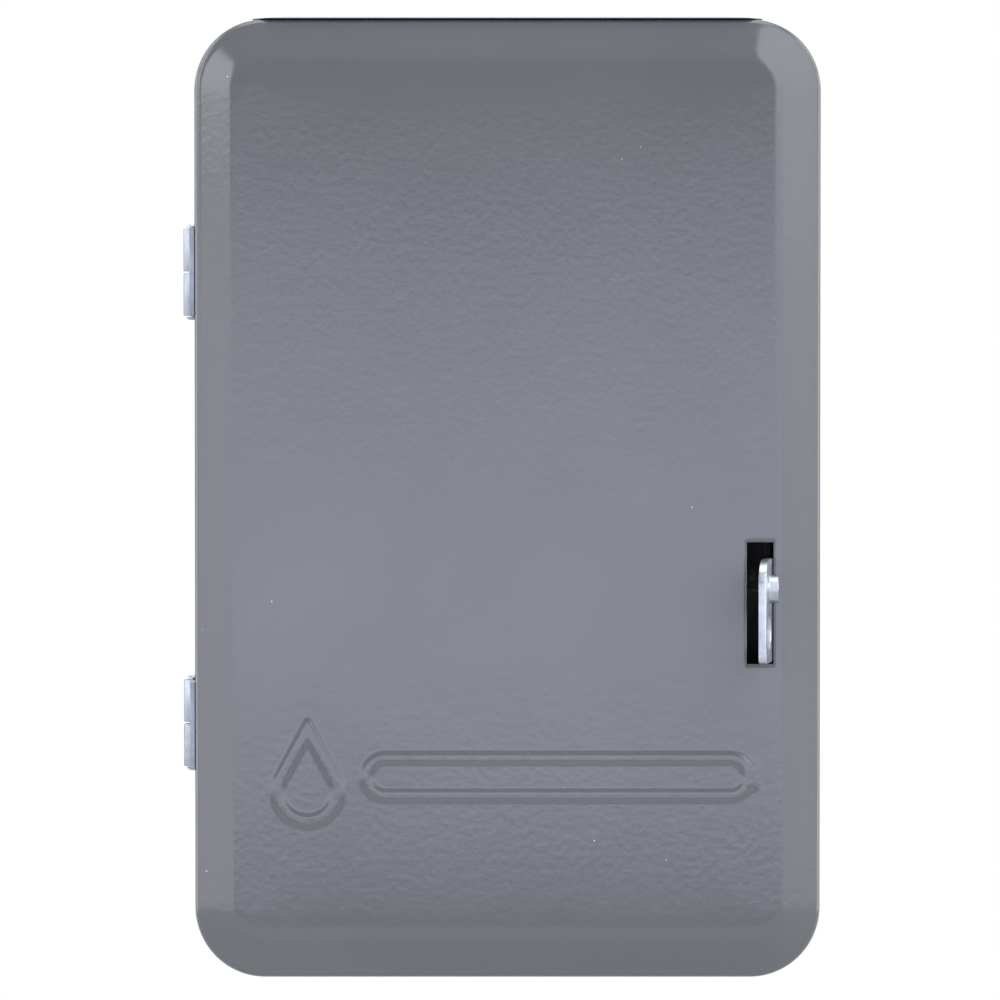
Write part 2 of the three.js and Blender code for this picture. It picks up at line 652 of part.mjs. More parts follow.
function manualLever() {
  const finger = Math.atan2(DIAL_CENTRE.z - LEVER_CENTRE.z, DIAL_CENTRE.x - LEVER_CENTRE.x);
  const handle = THREE.MathUtils.degToRad(LEVER_HANDLE_ANGLE);
  const side = (angle) => [Math.cos(angle + Math.PI / 2), Math.sin(angle + Math.PI / 2)];
  const arm = (angle, length, rootHalf, tipHalf) => {
    const [sx, sz] = side(angle);
    const [tx, tz] = polar(LEVER_CENTRE, length, angle);
    return polygon([
      [LEVER_CENTRE.x - rootHalf * sx, LEVER_CENTRE.z - rootHalf * sz],
      [tx - tipHalf * sx, tz - tipHalf * sz],
      [tx + tipHalf * sx, tz + tipHalf * sz],
      [LEVER_CENTRE.x + rootHalf * sx, LEVER_CENTRE.z + rootHalf * sz],
    ]);
  };
  const grip = along(LEVER_CENTRE, handle, 17.0);
  return join(
    plateY(arm(finger, 22.0, 4.0, 2.0), -44.0, -45.6),
    plateY(arm(handle, 17.0, 4.5, 3.0), -44.0, -45.6),
    barY(LEVER_CENTRE, 5.0, -43.5, -46.8, 20),
    barY(LEVER_CENTRE, 2.5, -18.0, -44.0),
    barY(grip, 4.0, -44.2, -52.0, 16),
    plateY(arm(THREE.MathUtils.degToRad(-40), 9.0, 2.5, 1.8), -34.5, -37.0));
}

function contactArm() {
  const { x, z } = CONTACT_CENTRE;
  return cut(join(
    barY(CONTACT_CENTRE, 3.2, -26.5, -32.5, 14),
    box(x - 9.5, x, -28.0, -31.0, z - 1.2, z + 1.2),
    box(x, x + 12.0, -29.0, -30.0, z - 2.2, z + 2.2)), barY(CONTACT_CENTRE, 1.75, -20, -40, 12));
}

function contactStud() {
  return join(barY(CONTACT_CENTRE, 1.4, -18.0, -33.0, 12), barY(CONTACT_CENTRE, 2.6, -32.8, -34.0, 12));
}

function contactBlock() {
  const { x, z } = CONTACT_CENTRE;
  return cut(
    box(x + 7.0, x + 25.0, CHASSIS_FRONT - GAP, -33.0, z - 6.5, z + 6.5),
    box(x + 6.0, x + 14.0, -26.0, -34.0, z - 4.6, z + 4.6));
}

// ---------------------------------------------------------------- terminals and leads

function terminalX(index) {
  return (index - (TERMINALS - 1) / 2) * TERMINAL_PITCH;
}

function terminalBlock() {
  const { left, right, bottom, top, back, front } = TERMINAL_BLOCK;
  const tools = [];
  for (let index = 0; index < TERMINALS; index += 1) {
    const x = terminalX(index);
    tools.push(box(x - 6.6, x + 6.6, front + 7.5, front - 1, bottom - 1, top - 2.5));
    tools.push(barY({ x, z: (bottom + top) / 2 }, 1.9, front + 15, front, 10));
  }
  return cut(box(left, right, back, front, bottom, top), ...tools);
}

function terminalScrew(index) {
  const centre = { x: terminalX(index), z: (TERMINAL_BLOCK.bottom + TERMINAL_BLOCK.top) / 2 };
  const seat = TERMINAL_BLOCK.front + 7.5;
  return join(
    box(centre.x - 5.6, centre.x + 5.6, seat - GAP, seat - GAP - 0.9, centre.z - 5.0, centre.z + 5.0),
    barY(centre, 3.9, seat - GAP - 0.8, seat - 3.4, 14),
    barY(centre, 1.5, seat + 6.0, seat - 0.6, 10));
}

function motorLead(offset) {
  const x = MOTOR_CENTRE.x - 24.0 - 12.0 + offset;
  const top = MOTOR_CENTRE.z - 11 - GAP;
  const bottom = TERMINAL_BLOCK.top + GAP;
  return lead([
    [x, -12, top], [x, -12.2, top - 4], [x - 1 + 1.4 * offset, -13.5, top - 14],
    [x - 1 + 2.2 * offset, -14.5, bottom + 6], [x - 1 + 2.2 * offset, -14.5, bottom],
  ], 0.95, 12);
}

// ---------------------------------------------------------------- assembly

const controller = new THREE.Group();

function add(name, body, finish) {
  const mesh = new THREE.Mesh(geometryOf(body), material(finish.colour, finish.roughness, finish.metalness));
  mesh.name = name;
  controller.add(mesh);
}

add('case_shell', caseShell(), ENAMEL);
add('rain_hood', rainHood(), ENAMEL);
for (const [name, body] of knockoutSlugs()) {
  add(name, body, ENAMEL);
}
add('ground_screw', screw(GROUND_SCREW, 3.8, -5.3, -7.4, 1.6, -2.2), GREEN);

for (const [level, height] of Object.entries(HINGE_HEIGHTS)) {
  add(`case_hinge_leaf_${level}`, caseLeaf(height), ZINC);
  add(`door_hinge_leaf_${level}`, doorLeaf(height), ZINC);
  add(`hinge_pin_${level}`, hingePin(height), ZINC);
}

add('door_panel', doorPanel(), ENAMEL);
add('door_label', doorLabel(), CARD);

add('hasp_blade', haspBlade(), ZINC);
add('hasp_spring', haspSpring(), ZINC);
add('hasp_rivet_upper', haspRivet(HASP_RIVET_HEIGHTS[0]), ZINC);
add('hasp_rivet_lower', haspRivet(HASP_RIVET_HEIGHTS[1]), ZINC);

add('chassis', chassis(), ZINC);
add('chassis_screw_left', screw({ x: -FOOT.x, z: FOOT.z }, 3.8, -7.8, -10.0, 1.6, -2.2), ZINC);
add('chassis_screw_right', screw({ x: FOOT.x, z: FOOT.z }, 3.8, -7.8, -10.0, 1.6, -2.2), ZINC);
add('faceplate', faceplate(), BLACK_PLASTIC);
for (const [corner, [x, z]] of Object.entries(POSTS)) {
  add(`faceplate_screw_${corner}`, screw({ x, z }, 3.4, -42.3, -44.3, 1.5, -33.0), ZINC);
}

add('motor_body', motorBody(), ALUMINIUM);
add('motor_coil', motorCoil(), COPPER_TAPE);
add('motor_pinion', motorPinion(), BRASS);
add('stage_gear', stageGear(), BRASS);
add('stage_stud', stageStud(), ZINC);
add('dial_gear', dialGear(), BRASS);

add('dial_plate', dialPlate(), ALUMINIUM);
add('dial_knob', dialKnob(), BLACK_PLASTIC);
add('time_pointer', timePointer(), RED_PLASTIC);
for (const [kind, angle] of Object.entries(TRIPPER_ANGLES)) {
  add(`tripper_${kind}`, tripper(angle), kind === 'on' ? BRASS : ZINC);
  add(`tripper_screw_${kind}`, tripperScrew(angle), BRASS);
}

add('skipper_wheel', skipperWheel(), ALUMINIUM);
add('skipper_hub', skipperHub(), BRASS);
add('manual_lever', manualLever(), RED_PLASTIC);
add('contact_arm', contactArm(), BRASS);
add('contact_stud', contactStud(), ZINC);
add('contact_block', contactBlock(), GREY_PLASTIC);

add('terminal_block', terminalBlock(), BLACK_PLASTIC);
for (let index = 0; index < TERMINALS; index += 1) {
  add(`terminal_screw_${index + 1}`, terminalScrew(index), BRASS);
}
add('motor_lead_white', motorLead(-2.5), WHITE_WIRE);
add('motor_lead_black', motorLead(2.5), BLACK_WIRE);

export default controller;
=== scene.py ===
"""Looks of a mechanical irrigation time-switch controller in a drawn-steel wall case.

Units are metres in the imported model's frame: +Z up, the door faces -Y, the wall is at y = 0.
"""

import json
import math
import random

import bmesh
import bpy
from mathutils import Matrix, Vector


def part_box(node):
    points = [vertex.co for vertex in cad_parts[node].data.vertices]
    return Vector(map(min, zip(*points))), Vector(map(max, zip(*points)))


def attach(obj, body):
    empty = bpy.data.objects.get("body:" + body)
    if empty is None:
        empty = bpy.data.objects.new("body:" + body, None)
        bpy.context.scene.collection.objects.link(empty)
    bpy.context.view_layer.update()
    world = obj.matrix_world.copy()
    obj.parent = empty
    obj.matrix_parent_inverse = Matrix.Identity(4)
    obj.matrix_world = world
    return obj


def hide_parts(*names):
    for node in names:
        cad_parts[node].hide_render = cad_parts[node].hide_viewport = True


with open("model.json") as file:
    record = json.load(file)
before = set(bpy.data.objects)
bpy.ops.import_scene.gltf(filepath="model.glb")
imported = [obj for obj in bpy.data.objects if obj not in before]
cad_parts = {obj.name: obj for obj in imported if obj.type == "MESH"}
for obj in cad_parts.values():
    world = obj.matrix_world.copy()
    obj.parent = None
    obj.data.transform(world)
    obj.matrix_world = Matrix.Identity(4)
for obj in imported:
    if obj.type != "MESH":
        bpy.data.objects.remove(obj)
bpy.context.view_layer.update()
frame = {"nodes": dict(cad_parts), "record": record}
NODES = frame["nodes"]
BODIES = frame["record"]["behaviour"]["bodies"]
BODY_OF = {node: body for body, nodes in BODIES.items() for node in nodes}
SLOT_OF = {part["node"]: part["material_slot"] for part in frame["record"]["subparts"]}
MM = 0.001
random.seed(7)

# Places that several pieces share, in mm: (x, z) of what turns about a front-to-back axis.
DIAL_CENTRE = (0.0, 40.0)
SKIPPER_CENTRE = (26.0, -20.0)
LEVER_CENTRE = (-34.0, -26.0)
HINGE_AXIS = (-65.1, -60.7)  # x, y


# ---- material helpers

class Shader:
    """A node material built up line by line around one Principled shader."""

    def __init__(self, name):
        self.material = bpy.data.materials.new(name)
        self.material.use_nodes = True
        self.tree = self.material.node_tree
        self.bsdf = self.tree.nodes["Principled BSDF"]
        self.coords = self.node("ShaderNodeTexCoord").outputs["Object"]

    def node(self, kind, **settings):
        made = self.tree.nodes.new(kind)
        for key, value in settings.items():
            setattr(made, key, value)
        return made

    def link(self, output, node_input):
        self.tree.links.new(output, node_input)

    def feed(self, output, name):
        self.link(output, self.bsdf.inputs[name])

    def set(self, **values):
        for key, value in values.items():
            self.bsdf.inputs[key.replace("_", " ")].default_value = value

    def stretched(self, scale):
        mapping = self.node("ShaderNodeMapping")
        mapping.inputs["Scale"].default_value = scale
        self.link(self.coords, mapping.inputs["Vector"])
        return mapping.outputs["Vector"]

    def noise(self, size, detail=2.0, roughness=0.5, vector=None):
        """A noise whose features are about size metres across."""
        noise = self.node("ShaderNodeTexNoise")
        noise.inputs["Scale"].default_value = 1.0 / size
        noise.inputs["Detail"].default_value = detail
        noise.inputs["Roughness"].default_value = roughness
        self.link(vector or self.coords, noise.inputs["Vector"])
        return noise.outputs["Fac"]

    def cells(self, size):
        """Distance from the middle of cells about size metres across."""
        cells = self.node("ShaderNodeTexVoronoi", feature="F1")
        cells.inputs["Scale"].default_value = 1.0 / size
        self.link(self.coords, cells.inputs["Vector"])
        return cells.outputs["Distance"]

    def ramp(self, source, stops):
        ramp = self.node("ShaderNodeValToRGB")
        elements = ramp.color_ramp.elements
        while len(elements) < len(stops):
            elements.new(0.5)
        for element, (position, value) in zip(elements, stops):
            element.position = position
            element.color = value if isinstance(value, tuple) else (value, value, value, 1.0)
        self.link(source, ramp.inputs["Fac"])
        return ramp.outputs["Color"]

    def mix(self, factor, first, second, blend="MIX"):
        mix = self.node("ShaderNodeMix", data_type="RGBA", blend_type=blend)
        for socket, value in (("Factor", factor), ("A", first), ("B", second)):
            wanted = [i for i in mix.inputs if i.name == socket and i.enabled][0]
            if isinstance(value, (tuple, float, int)):
                wanted.default_value = value
            else:
                self.link(value, wanted)
        return [o for o in mix.outputs if o.enabled][0]

    def bump(self, *layers):
        """layers are (height source, depth in metres); the last one lies on top of the others."""
        normal = None
        for source, depth in layers:
            bump = self.node("ShaderNodeBump")
            bump.inputs["Strength"].default_value = 1.0
            bump.inputs["Distance"].default_value = depth
            self.link(source, bump.inputs["Height"])
            if normal:
                self.link(normal, bump.inputs["Normal"])
            normal = bump.outputs["Normal"]
        self.feed(normal, "Normal")


def colour(value):
    """sRGB 0-255 to the linear colour a shader wants."""
    channels = []
    for part in value:
        part = part / 255
        channels.append(part / 12.92 if part <= 0.04045 else ((part + 0.055) / 1.055) ** 2.4)
    return (*channels, 1.0)


def tone(value, factor):
    return (value[0] * factor, value[1] * factor, value[2] * factor, 1.0)


# ---- materials

ENAMEL_GREY = colour((89, 93, 94))


def make_enamel():
    """Glossy baked enamel: orange peel, slow colour drift, tiny pale dust specks."""
    s = Shader("grey_enamel")
    drift = s.ramp(s.noise(0.05, 3), [(0.35, tone(ENAMEL_GREY, 0.97)), (0.65, tone(ENAMEL_GREY, 1.03))])
    grain = s.ramp(s.noise(0.0009, 4, 0.7), [(0.3, 0.985), (0.7, 1.015)])
    base = s.mix(1.0, drift, grain, "MULTIPLY")
    rare = s.ramp(s.noise(0.0061, 2), [(0.60, 0.0), (0.63, 1.0)])
    dots = s.ramp(s.cells(0.0042), [(0.028, 1.0), (0.040, 0.0)])
    speck = s.mix(1.0, rare, dots, "MULTIPLY")
    dust = colour((198, 200, 205))
    s.feed(s.mix(speck, base, dust), "Base Color")
    rough = s.ramp(s.noise(0.02, 4), [(0.3, 0.085), (0.7, 0.115)])
    s.feed(rough, "Roughness")
    s.set(IOR=1.5)
    wide_peel, fine_peel = s.noise(0.0060, 1, 0.4), s.noise(0.0013, 1, 0.4)
    s.bump((wide_peel, 5e-6), (fine_peel, 12e-6), (speck, 20e-6))
    return s.material


def make_zinc(name, base, rough, mottle=0.0035):
    """Bright zinc plating: bluish, faintly yellow patches, and crystals about mottle metres across."""
    s = Shader(name)
    patches = s.ramp(s.noise(0.009, 3), [(0.35, tone(base, 0.82)), (0.68, tone(base, 1.08))])
    warm = s.ramp(s.noise(0.006, 2), [(0.5, 0.0), (0.75, 0.35)])
    yellowed = (base[0] * 1.06, base[1], base[2] * 0.86, 1.0)
    tinted = s.mix(warm, patches, yellowed)
    spots = s.ramp(s.cells(mottle), [(0.1, 0.90), (0.6, 1.06)])
    s.feed(s.mix(1.0, tinted, spots, "MULTIPLY"), "Base Color")
    gloss = s.noise(mottle * 0.6, 3)
    s.feed(s.ramp(gloss, [(0.3, rough[0]), (0.7, rough[1])]), "Roughness")
    s.set(Metallic=1.0)
    scratches = s.noise(0.0006, 3, 0.6, s.stretched((1.0, 1.0, 14.0)))
    s.bump((s.noise(0.0016, 3), 10e-6), (scratches, 3e-6))
    return s.material


def make_metal(name, base, rough, stretch=(1, 1, 1), depth=4e-6, tarnish=0.85):
    """Machined or drawn metal with a directional grain and light tarnish."""
    s = Shader(name)
    drift = s.ramp(s.noise(0.006, 3), [(0.3, tone(base, tarnish)), (0.7, tone(base, 1.05))])
    grain = s.noise(0.0005, 3, 0.6, s.stretched(stretch))
    streaks = s.ramp(grain, [(0.2, tone(base, 0.8)), (0.8, tone(base, 1.1))])
    s.feed(s.mix(0.35, drift, streaks), "Base Color")
    s.feed(s.ramp(grain, [(0.3, rough[0]), (0.7, rough[1])]), "Roughness")
    s.set(Metallic=1.0)
    s.bump((grain, depth), (s.noise(0.0011, 3), depth))
    return s.material


def make_plastic(name, base, rough=(0.38, 0.5), grain=0.0004, depth=6e-6, spread=0.12):
    """Moulded plastic: fine spark-eroded grain with slow colour and gloss drift."""
    s = Shader(name)
    drift = s.ramp(s.noise(0.012, 3), [(0.3, tone(base, 1 - spread)), (0.7, tone(base, 1 + spread))])
    dust = s.ramp(s.noise(0.0007, 4, 0.7), [(0.62, 0.0), (0.80, 0.10)])
    dust_colour = colour((190, 188, 182))
    s.feed(s.mix(dust, drift, dust_colour), "Base Color")
    gloss = s.noise(0.004, 3)
    s.feed(s.ramp(gloss, [(0.3, rough[0]), (0.7, rough[1])]), "Roughness")
    s.bump((s.noise(grain, 3), depth), (s.noise(0.003, 2), depth))
    return s.material


def make_fibre(name, base, weave, depth=20e-6):
    """Card or coil tape: fibres in two directions, matt."""
    s = Shader(name)
    across = s.noise(weave, 2, 0.6, s.stretched((1.0, 1.0, 7.0)))
    along = s.noise(weave, 2, 0.6, s.stretched((7.0, 1.0, 1.0)))
    both = s.mix(0.5, across, along)
    s.feed(s.ramp(both, [(0.3, tone(base, 0.86)), (0.7, tone(base, 1.08))]), "Base Color")
    s.set(Roughness=0.8)
    s.bump((both, 2 * depth))
    return s.material


def make_ink(name, base):
    """Screen-printed ink: nearly flat, a little broken up and matt."""
    s = Shader(name)
    s.feed(s.ramp(s.noise(0.0006, 3), [(0.3, tone(base, 0.88)), (0.6, tone(base, 1.06))]), "Base Color")
    s.set(Roughness=0.55)
    s.bump((s.noise(0.0005, 2), 2e-6))
    return s.material


MATERIALS = {
    "grey_enamel": make_enamel(),
    "zinc_plate": make_zinc("zinc_plate", (0.43, 0.48, 0.53, 1), (0.30, 0.48)),
    "chassis_zinc": make_zinc("chassis_zinc", (0.52, 0.55, 0.56, 1), (0.30, 0.48), 0.006),
    "green_screw": make_metal("green_screw", (0.03, 0.20, 0.07, 1), (0.3, 0.42)),
    "card": make_fibre("card", colour((222, 216, 196)), 0.0012, 8e-6),
    "black_moulding": make_plastic("black_moulding", colour((27, 27, 29))),
    "motor_can": make_metal("motor_can", (0.55, 0.56, 0.58, 1), (0.28, 0.42), (1, 9, 1)),
    "coil_tape": make_fibre("coil_tape", colour((176, 116, 46)), 0.0009),
    "brass": make_metal("brass", (0.62, 0.42, 0.14, 1), (0.22, 0.36)),
    "steel_tripper": make_zinc("steel_tripper", (0.55, 0.57, 0.60, 1), (0.2, 0.34), 0.002),
    "dial_aluminium": make_metal("dial_aluminium", (0.70, 0.71, 0.72, 1), (0.26, 0.38),
                                 (1, 1, 12), 3e-6, 0.94),
    "red_plastic": make_plastic("red_plastic", colour((158, 40, 30)), (0.28, 0.38)),
    "contact_moulding": make_plastic("contact_moulding", colour((140, 142, 145))),
    "white_wire": make_plastic("white_wire", colour((214, 214, 206)), (0.35, 0.48), 0.0003, 4e-6, 0.04),
    "black_wire": make_plastic("black_wire", colour((38, 38, 42)), (0.35, 0.48), 0.0003, 4e-6, 0.08),
}
# A brighter copy of the zinc plating for the hasp: its lighter colour is a painted highlight that whitens the
# hasp's front edge.
HASP_ZINC_PAINTED_HIGHLIGHT = make_zinc("hasp_zinc_painted_highlight", (0.53, 0.58, 0.62, 1), (0.26, 0.42), 0.0022)
# A darker, rougher copy of the zinc plating for the hinges: the rougher finish is real, and the darker colour
# is painted shade that tones down the barrel's bright reflections.
HINGE_ZINC_PAINTED_SHADE = make_zinc("hinge_zinc_painted_shade", (0.33, 0.37, 0.42, 1), (0.40, 0.56))
INK_YELLOW = make_ink("ink_yellow_green", colour((196, 214, 92)))
INK_BLACK = make_ink("ink_black", colour((24, 24, 26)))
INK_WHITE = make_ink("ink_white", colour((226, 226, 220)))
INK_GREY = make_ink("ink_grey", colour((120, 122, 120)))


# ---- mesh helpers

def make_object(name, mesh, material):
    piece = bpy.data.objects.new(name, mesh)
    bpy.context.scene.collection.objects.link(piece)
    mesh.materials.clear()
    mesh.materials.append(material)
    return piece


def smooth(mesh, angle):
    for polygon in mesh.polygons:
        polygon.use_smooth = True
    mesh.set_sharp_from_angle(angle=math.radians(angle))


def even_normals(mesh, angle):
    """Corner normals weighted by face area, so that large flat faces stay flat beside their rounded edges."""
    limit = math.cos(math.radians(angle))
    around = [[] for _ in mesh.vertices]
    for polygon in mesh.polygons:
        for v in polygon.vertices:
            around[v].append((polygon.normal.copy(), polygon.area))
    normals = []
    for polygon in mesh.polygons:
        for v in polygon.vertices:
            total = Vector((0, 0, 0))
            for normal, area in around[v]:
                if normal.dot(polygon.normal) > limit:
                    total += normal * area
            normals.append(total.normalized() if total.length else polygon.normal.copy())
    mesh.normals_split_custom_set(normals)


def from_lists(name, points, faces, material, angle):
    """A welded, smooth-shaded object from points in metres and faces."""
    mesh = bpy.data.meshes.new(name)
    mesh.from_pydata([tuple(p) for p in points], [], faces)
    mesh.validate()
    bm = bmesh.new()
    bm.from_mesh(mesh)
    bmesh.ops.remove_doubles(bm, verts=bm.verts, dist=1e-7)
    bmesh.ops.recalc_face_normals(bm, faces=bm.faces)
    bm.to_mesh(mesh)
    bm.free()
    smooth(mesh, angle)
    return make_object(name, mesh, material)


MADE = set()


def stand_in(piece, node):
    """piece rides with and replaces a CAD node."""
    MADE.add(node)
    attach(piece, BODY_OF[node])
    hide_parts(node)
    return piece


def sharp_edges(bm, angle):
    return [e for e in bm.edges if len(e.link_faces) == 2 and e.calc_face_angle(0.0) > math.radians(angle)]


def dressed(node, edge, angle=32, material=None):
    """A CAD node's shape as a clean mesh: flat faces merged, edges rounded by edge mm, shaded smooth."""
    mesh = NODES[node].data.copy()
    mesh.name = node + "_look"
    if "custom_normal" in mesh.attributes:
        mesh.attributes.remove(mesh.attributes["custom_normal"])
    bm = bmesh.new()
    bm.from_mesh(mesh)
    bmesh.ops.remove_doubles(bm, verts=bm.verts, dist=2e-6)
    bmesh.ops.dissolve_limit(bm, angle_limit=math.radians(1.0), verts=bm.verts, edges=bm.edges)
    if edge:
        bmesh.ops.bevel(bm, geom=sharp_edges(bm, angle), offset=edge * MM, segments=2, profile=0.5,
                        affect="EDGES", clamp_overlap=True, harden_normals=False)
    bmesh.ops.triangulate(bm, faces=[f for f in bm.faces if len(f.verts) > 4])
    bm.to_mesh(mesh)
    bm.free()
    smooth(mesh, angle)
    even_normals(mesh, angle)
    piece = make_object(node + "_look", mesh, material or MATERIALS[SLOT_OF[node]])
    return stand_in(piece, node)


def box_in_mm(node):
    """A node's lowest and highest corners at rest, in mm."""
    low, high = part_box(node)
    return low / MM, high / MM


# ---- door

class DoorForm:
    """The drawn door: where its surface lies at any point of its front."""

    def __init__(self):
        low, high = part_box("door_panel")
        self.half_width = (high.x - low.x) / 2
        self.half_height = (high.z - low.z) / 2
        self.front, self.back = low.y, high.y
        self.corner = 14.4 * MM
        self.sheet = 1.0 * MM
        self.slot = 49.0 * MM, 54.5 * MM, -33.7 * MM, -8.7 * MM  # left, right, bottom, top
        self.bend = 8.3 * MM  # inset of the bend between border and panel
        self.softness = 1.3 * MM  # how widely that bend is rounded
        self.crown = 0.15 * MM  # how far the panel's middle bulges
        self.set_back = 0.10 * MM  # how far the panel's level is behind the CAD door's front
        self.edge = 2.0 * MM  # radius of the outer edge
        self.border = 6.8 * MM  # width of the sloping border, which rises by 3 mm
        self.slope = 3.0 * MM / self.border
        self.turn = math.pi / 2 - math.atan(self.slope)
        self.edge_inset = self.edge * (1 - math.cos(self.turn))
        edge_top = self.front + self.slope * (self.bend - self.edge_inset)
        self.edge_start = edge_top + self.edge * math.sin(self.turn)

    def insets(self):
        """Distances in from the outline at which the mesh has a ring."""
        arc = [self.edge * (1 - math.cos(self.turn * i / 7)) for i in range(8)]
        border = [self.edge_inset + (self.bend - 2.0 * MM - self.edge_inset) * i / 5 for i in range(1, 6)]
        bend = [self.bend + i * 0.4 * MM for i in range(-4, 9)]
        rest = [self.bend + 3.9 * MM, self.bend + 4.9 * MM, self.corner]
        return arc + border + bend + rest

    def depth(self, inset, x, z):
        """The y of the outer surface."""
        if inset < self.edge_inset:
            turn = math.acos(max(-1.0, min(1.0, 1 - inset / self.edge)))
            return self.edge_start - self.edge * math.sin(turn)
        width = self.softness
        beyond = self.bend - inset
        climb = self.slope * (beyond + math.sqrt(beyond * beyond + width * width)) / 2
        fade = self.slope * width * width / (4 * max(self.bend - self.edge_inset, 1e-6))
        crown = self.crown * (1 - (x / self.half_width) ** 2) * (1 - (z / self.half_height) ** 2)
        panel = self.front + climb - fade * 0.5 + self.set_back - crown
        return panel - emboss(x, z) + punched(x, z, self.slot)


def ease(value):
    """0 at 0 and below, 1 at 1 and above, smooth between."""
    value = max(0.0, min(1.0, value))
    return value * value * (3 - 2 * value)


def capsule_distance(x, z, x0, x1, height, radius):
    """Signed distance to a level bead with round ends."""
    nearest = max(x0, min(x1, x))
    return math.hypot(x - nearest, z - height) - radius


def drop_distance(x, z, centre_x, centre_z, radius, reach):
    """Signed distance to a water drop: a circle with a point above it."""
    px, pz = abs(x - centre_x), z - centre_z
    tip = 0.5 * MM
    slant = (radius - tip) / reach
    lean = math.sqrt(1 - slant * slant)
    along = px * -slant + pz * lean
    if along < 0:
        return math.hypot(px, pz) - radius
    if along > lean * reach:
        return math.hypot(px, pz - reach) - tip
    return px * lean + pz * slant - radius


DROP = dict(centre_x=-41.0 * MM, centre_z=-59.8 * MM, radius=7.3 * MM, reach=14.2 * MM)
BEAD = dict(x0=-25.0 * MM, x1=45.6 * MM, height=-56.8 * MM, radius=4.9 * MM)
DROP_RIM, BEAD_RIM = 2.4 * MM, 2.1 * MM  # widths of their raised rims
MARK_HEIGHT, MARK_SINK = 0.14 * MM, 0.10 * MM  # rim over the panel, and middle under the rim
MARKS_BOTTOM, MARKS_TOP = -75 * MM, -38 * MM  # they lie between these


def emboss(x, z):
    """Raised pressed marks: a plain drop and a plain long bead, each with a sunk middle."""
    if not MARKS_BOTTOM <= z <= MARKS_TOP:
        return 0.0
    soft = 0.9 * MM
    high = 0.0
    for distance, inner in (
        (drop_distance(x, z, **DROP), DROP_RIM),
        (capsule_distance(x, z, **BEAD), BEAD_RIM),
    ):
        raised = ease(0.5 - distance / soft)
        sunk = ease(0.5 - (distance + inner) / soft)
        high += MARK_HEIGHT * raised - MARK_SINK * sunk
    return high


def punched(x, z, slot):
    """The sheet rolls in slightly along the slot's punched edge."""
    left, right, bottom, top = slot
    depth, width = 0.16 * MM, 0.55 * MM
    outside = math.hypot(max(left - x, 0.0, x - right), max(bottom - z, 0.0, z - top))
    return depth * ease(1 - outside / width)


def spread(start, end, step):
    """Evenly spaced values from start up to but not including end, at most step apart."""
    count = max(1, math.ceil((end - start) / step - 1e-6))
    return [start + (end - start) * i / count for i in range(count)]


def merge_lines(values):
    """The values in order, without those that lie too close to the one before."""
    tolerance = 0.04 * MM
    kept = []
    for value in sorted(values):
        if not kept or value - kept[-1] > tolerance:
            kept.append(value)
    return kept


def door_lines(form, inner_x, inner_z):
    """The x and z of the grid over the door's front, and the insets of the rings round its corners."""
    slot_left, slot_right, slot_bottom, slot_top = form.slot
    insets = form.insets()
    roll = [0.0, 0.2 * MM, 0.45 * MM, 0.75 * MM]  # lines this far out from the slot's edges
    rings = merge_lines(insets + [form.half_width - slot_right - r for r in roll])
    lines_x = [-form.half_width + i for i in rings] + [form.half_width - i for i in rings]
    lines_x += spread(-inner_x, inner_x, 0.4 * MM) + [slot_left - r for r in roll]

    lines_z = [-form.half_height + i for i in insets] + [form.half_height - i for i in insets]
    lines_z += [slot_bottom - r for r in roll] + [slot_top + r for r in roll]
    for start, end, step in (
        (-inner_z, -70 * MM, 2.5 * MM),
        (-70 * MM, -43 * MM, 0.3 * MM),  # across the pressed marks
        (-43 * MM, slot_bottom - 1 * MM, 1.5 * MM),
        (slot_bottom + 2 * MM, slot_top - 2 * MM, 2.5 * MM),
        (slot_top + 2 * MM, inner_z, 2.5 * MM),
    ):
        lines_z += spread(start, end, step)
    lines_z = merge_lines(lines_z)
    lines_z += [-form.half_height + i for i in rings] + [form.half_height - i for i in rings]
    return merge_lines(lines_x), merge_lines(lines_z), rings


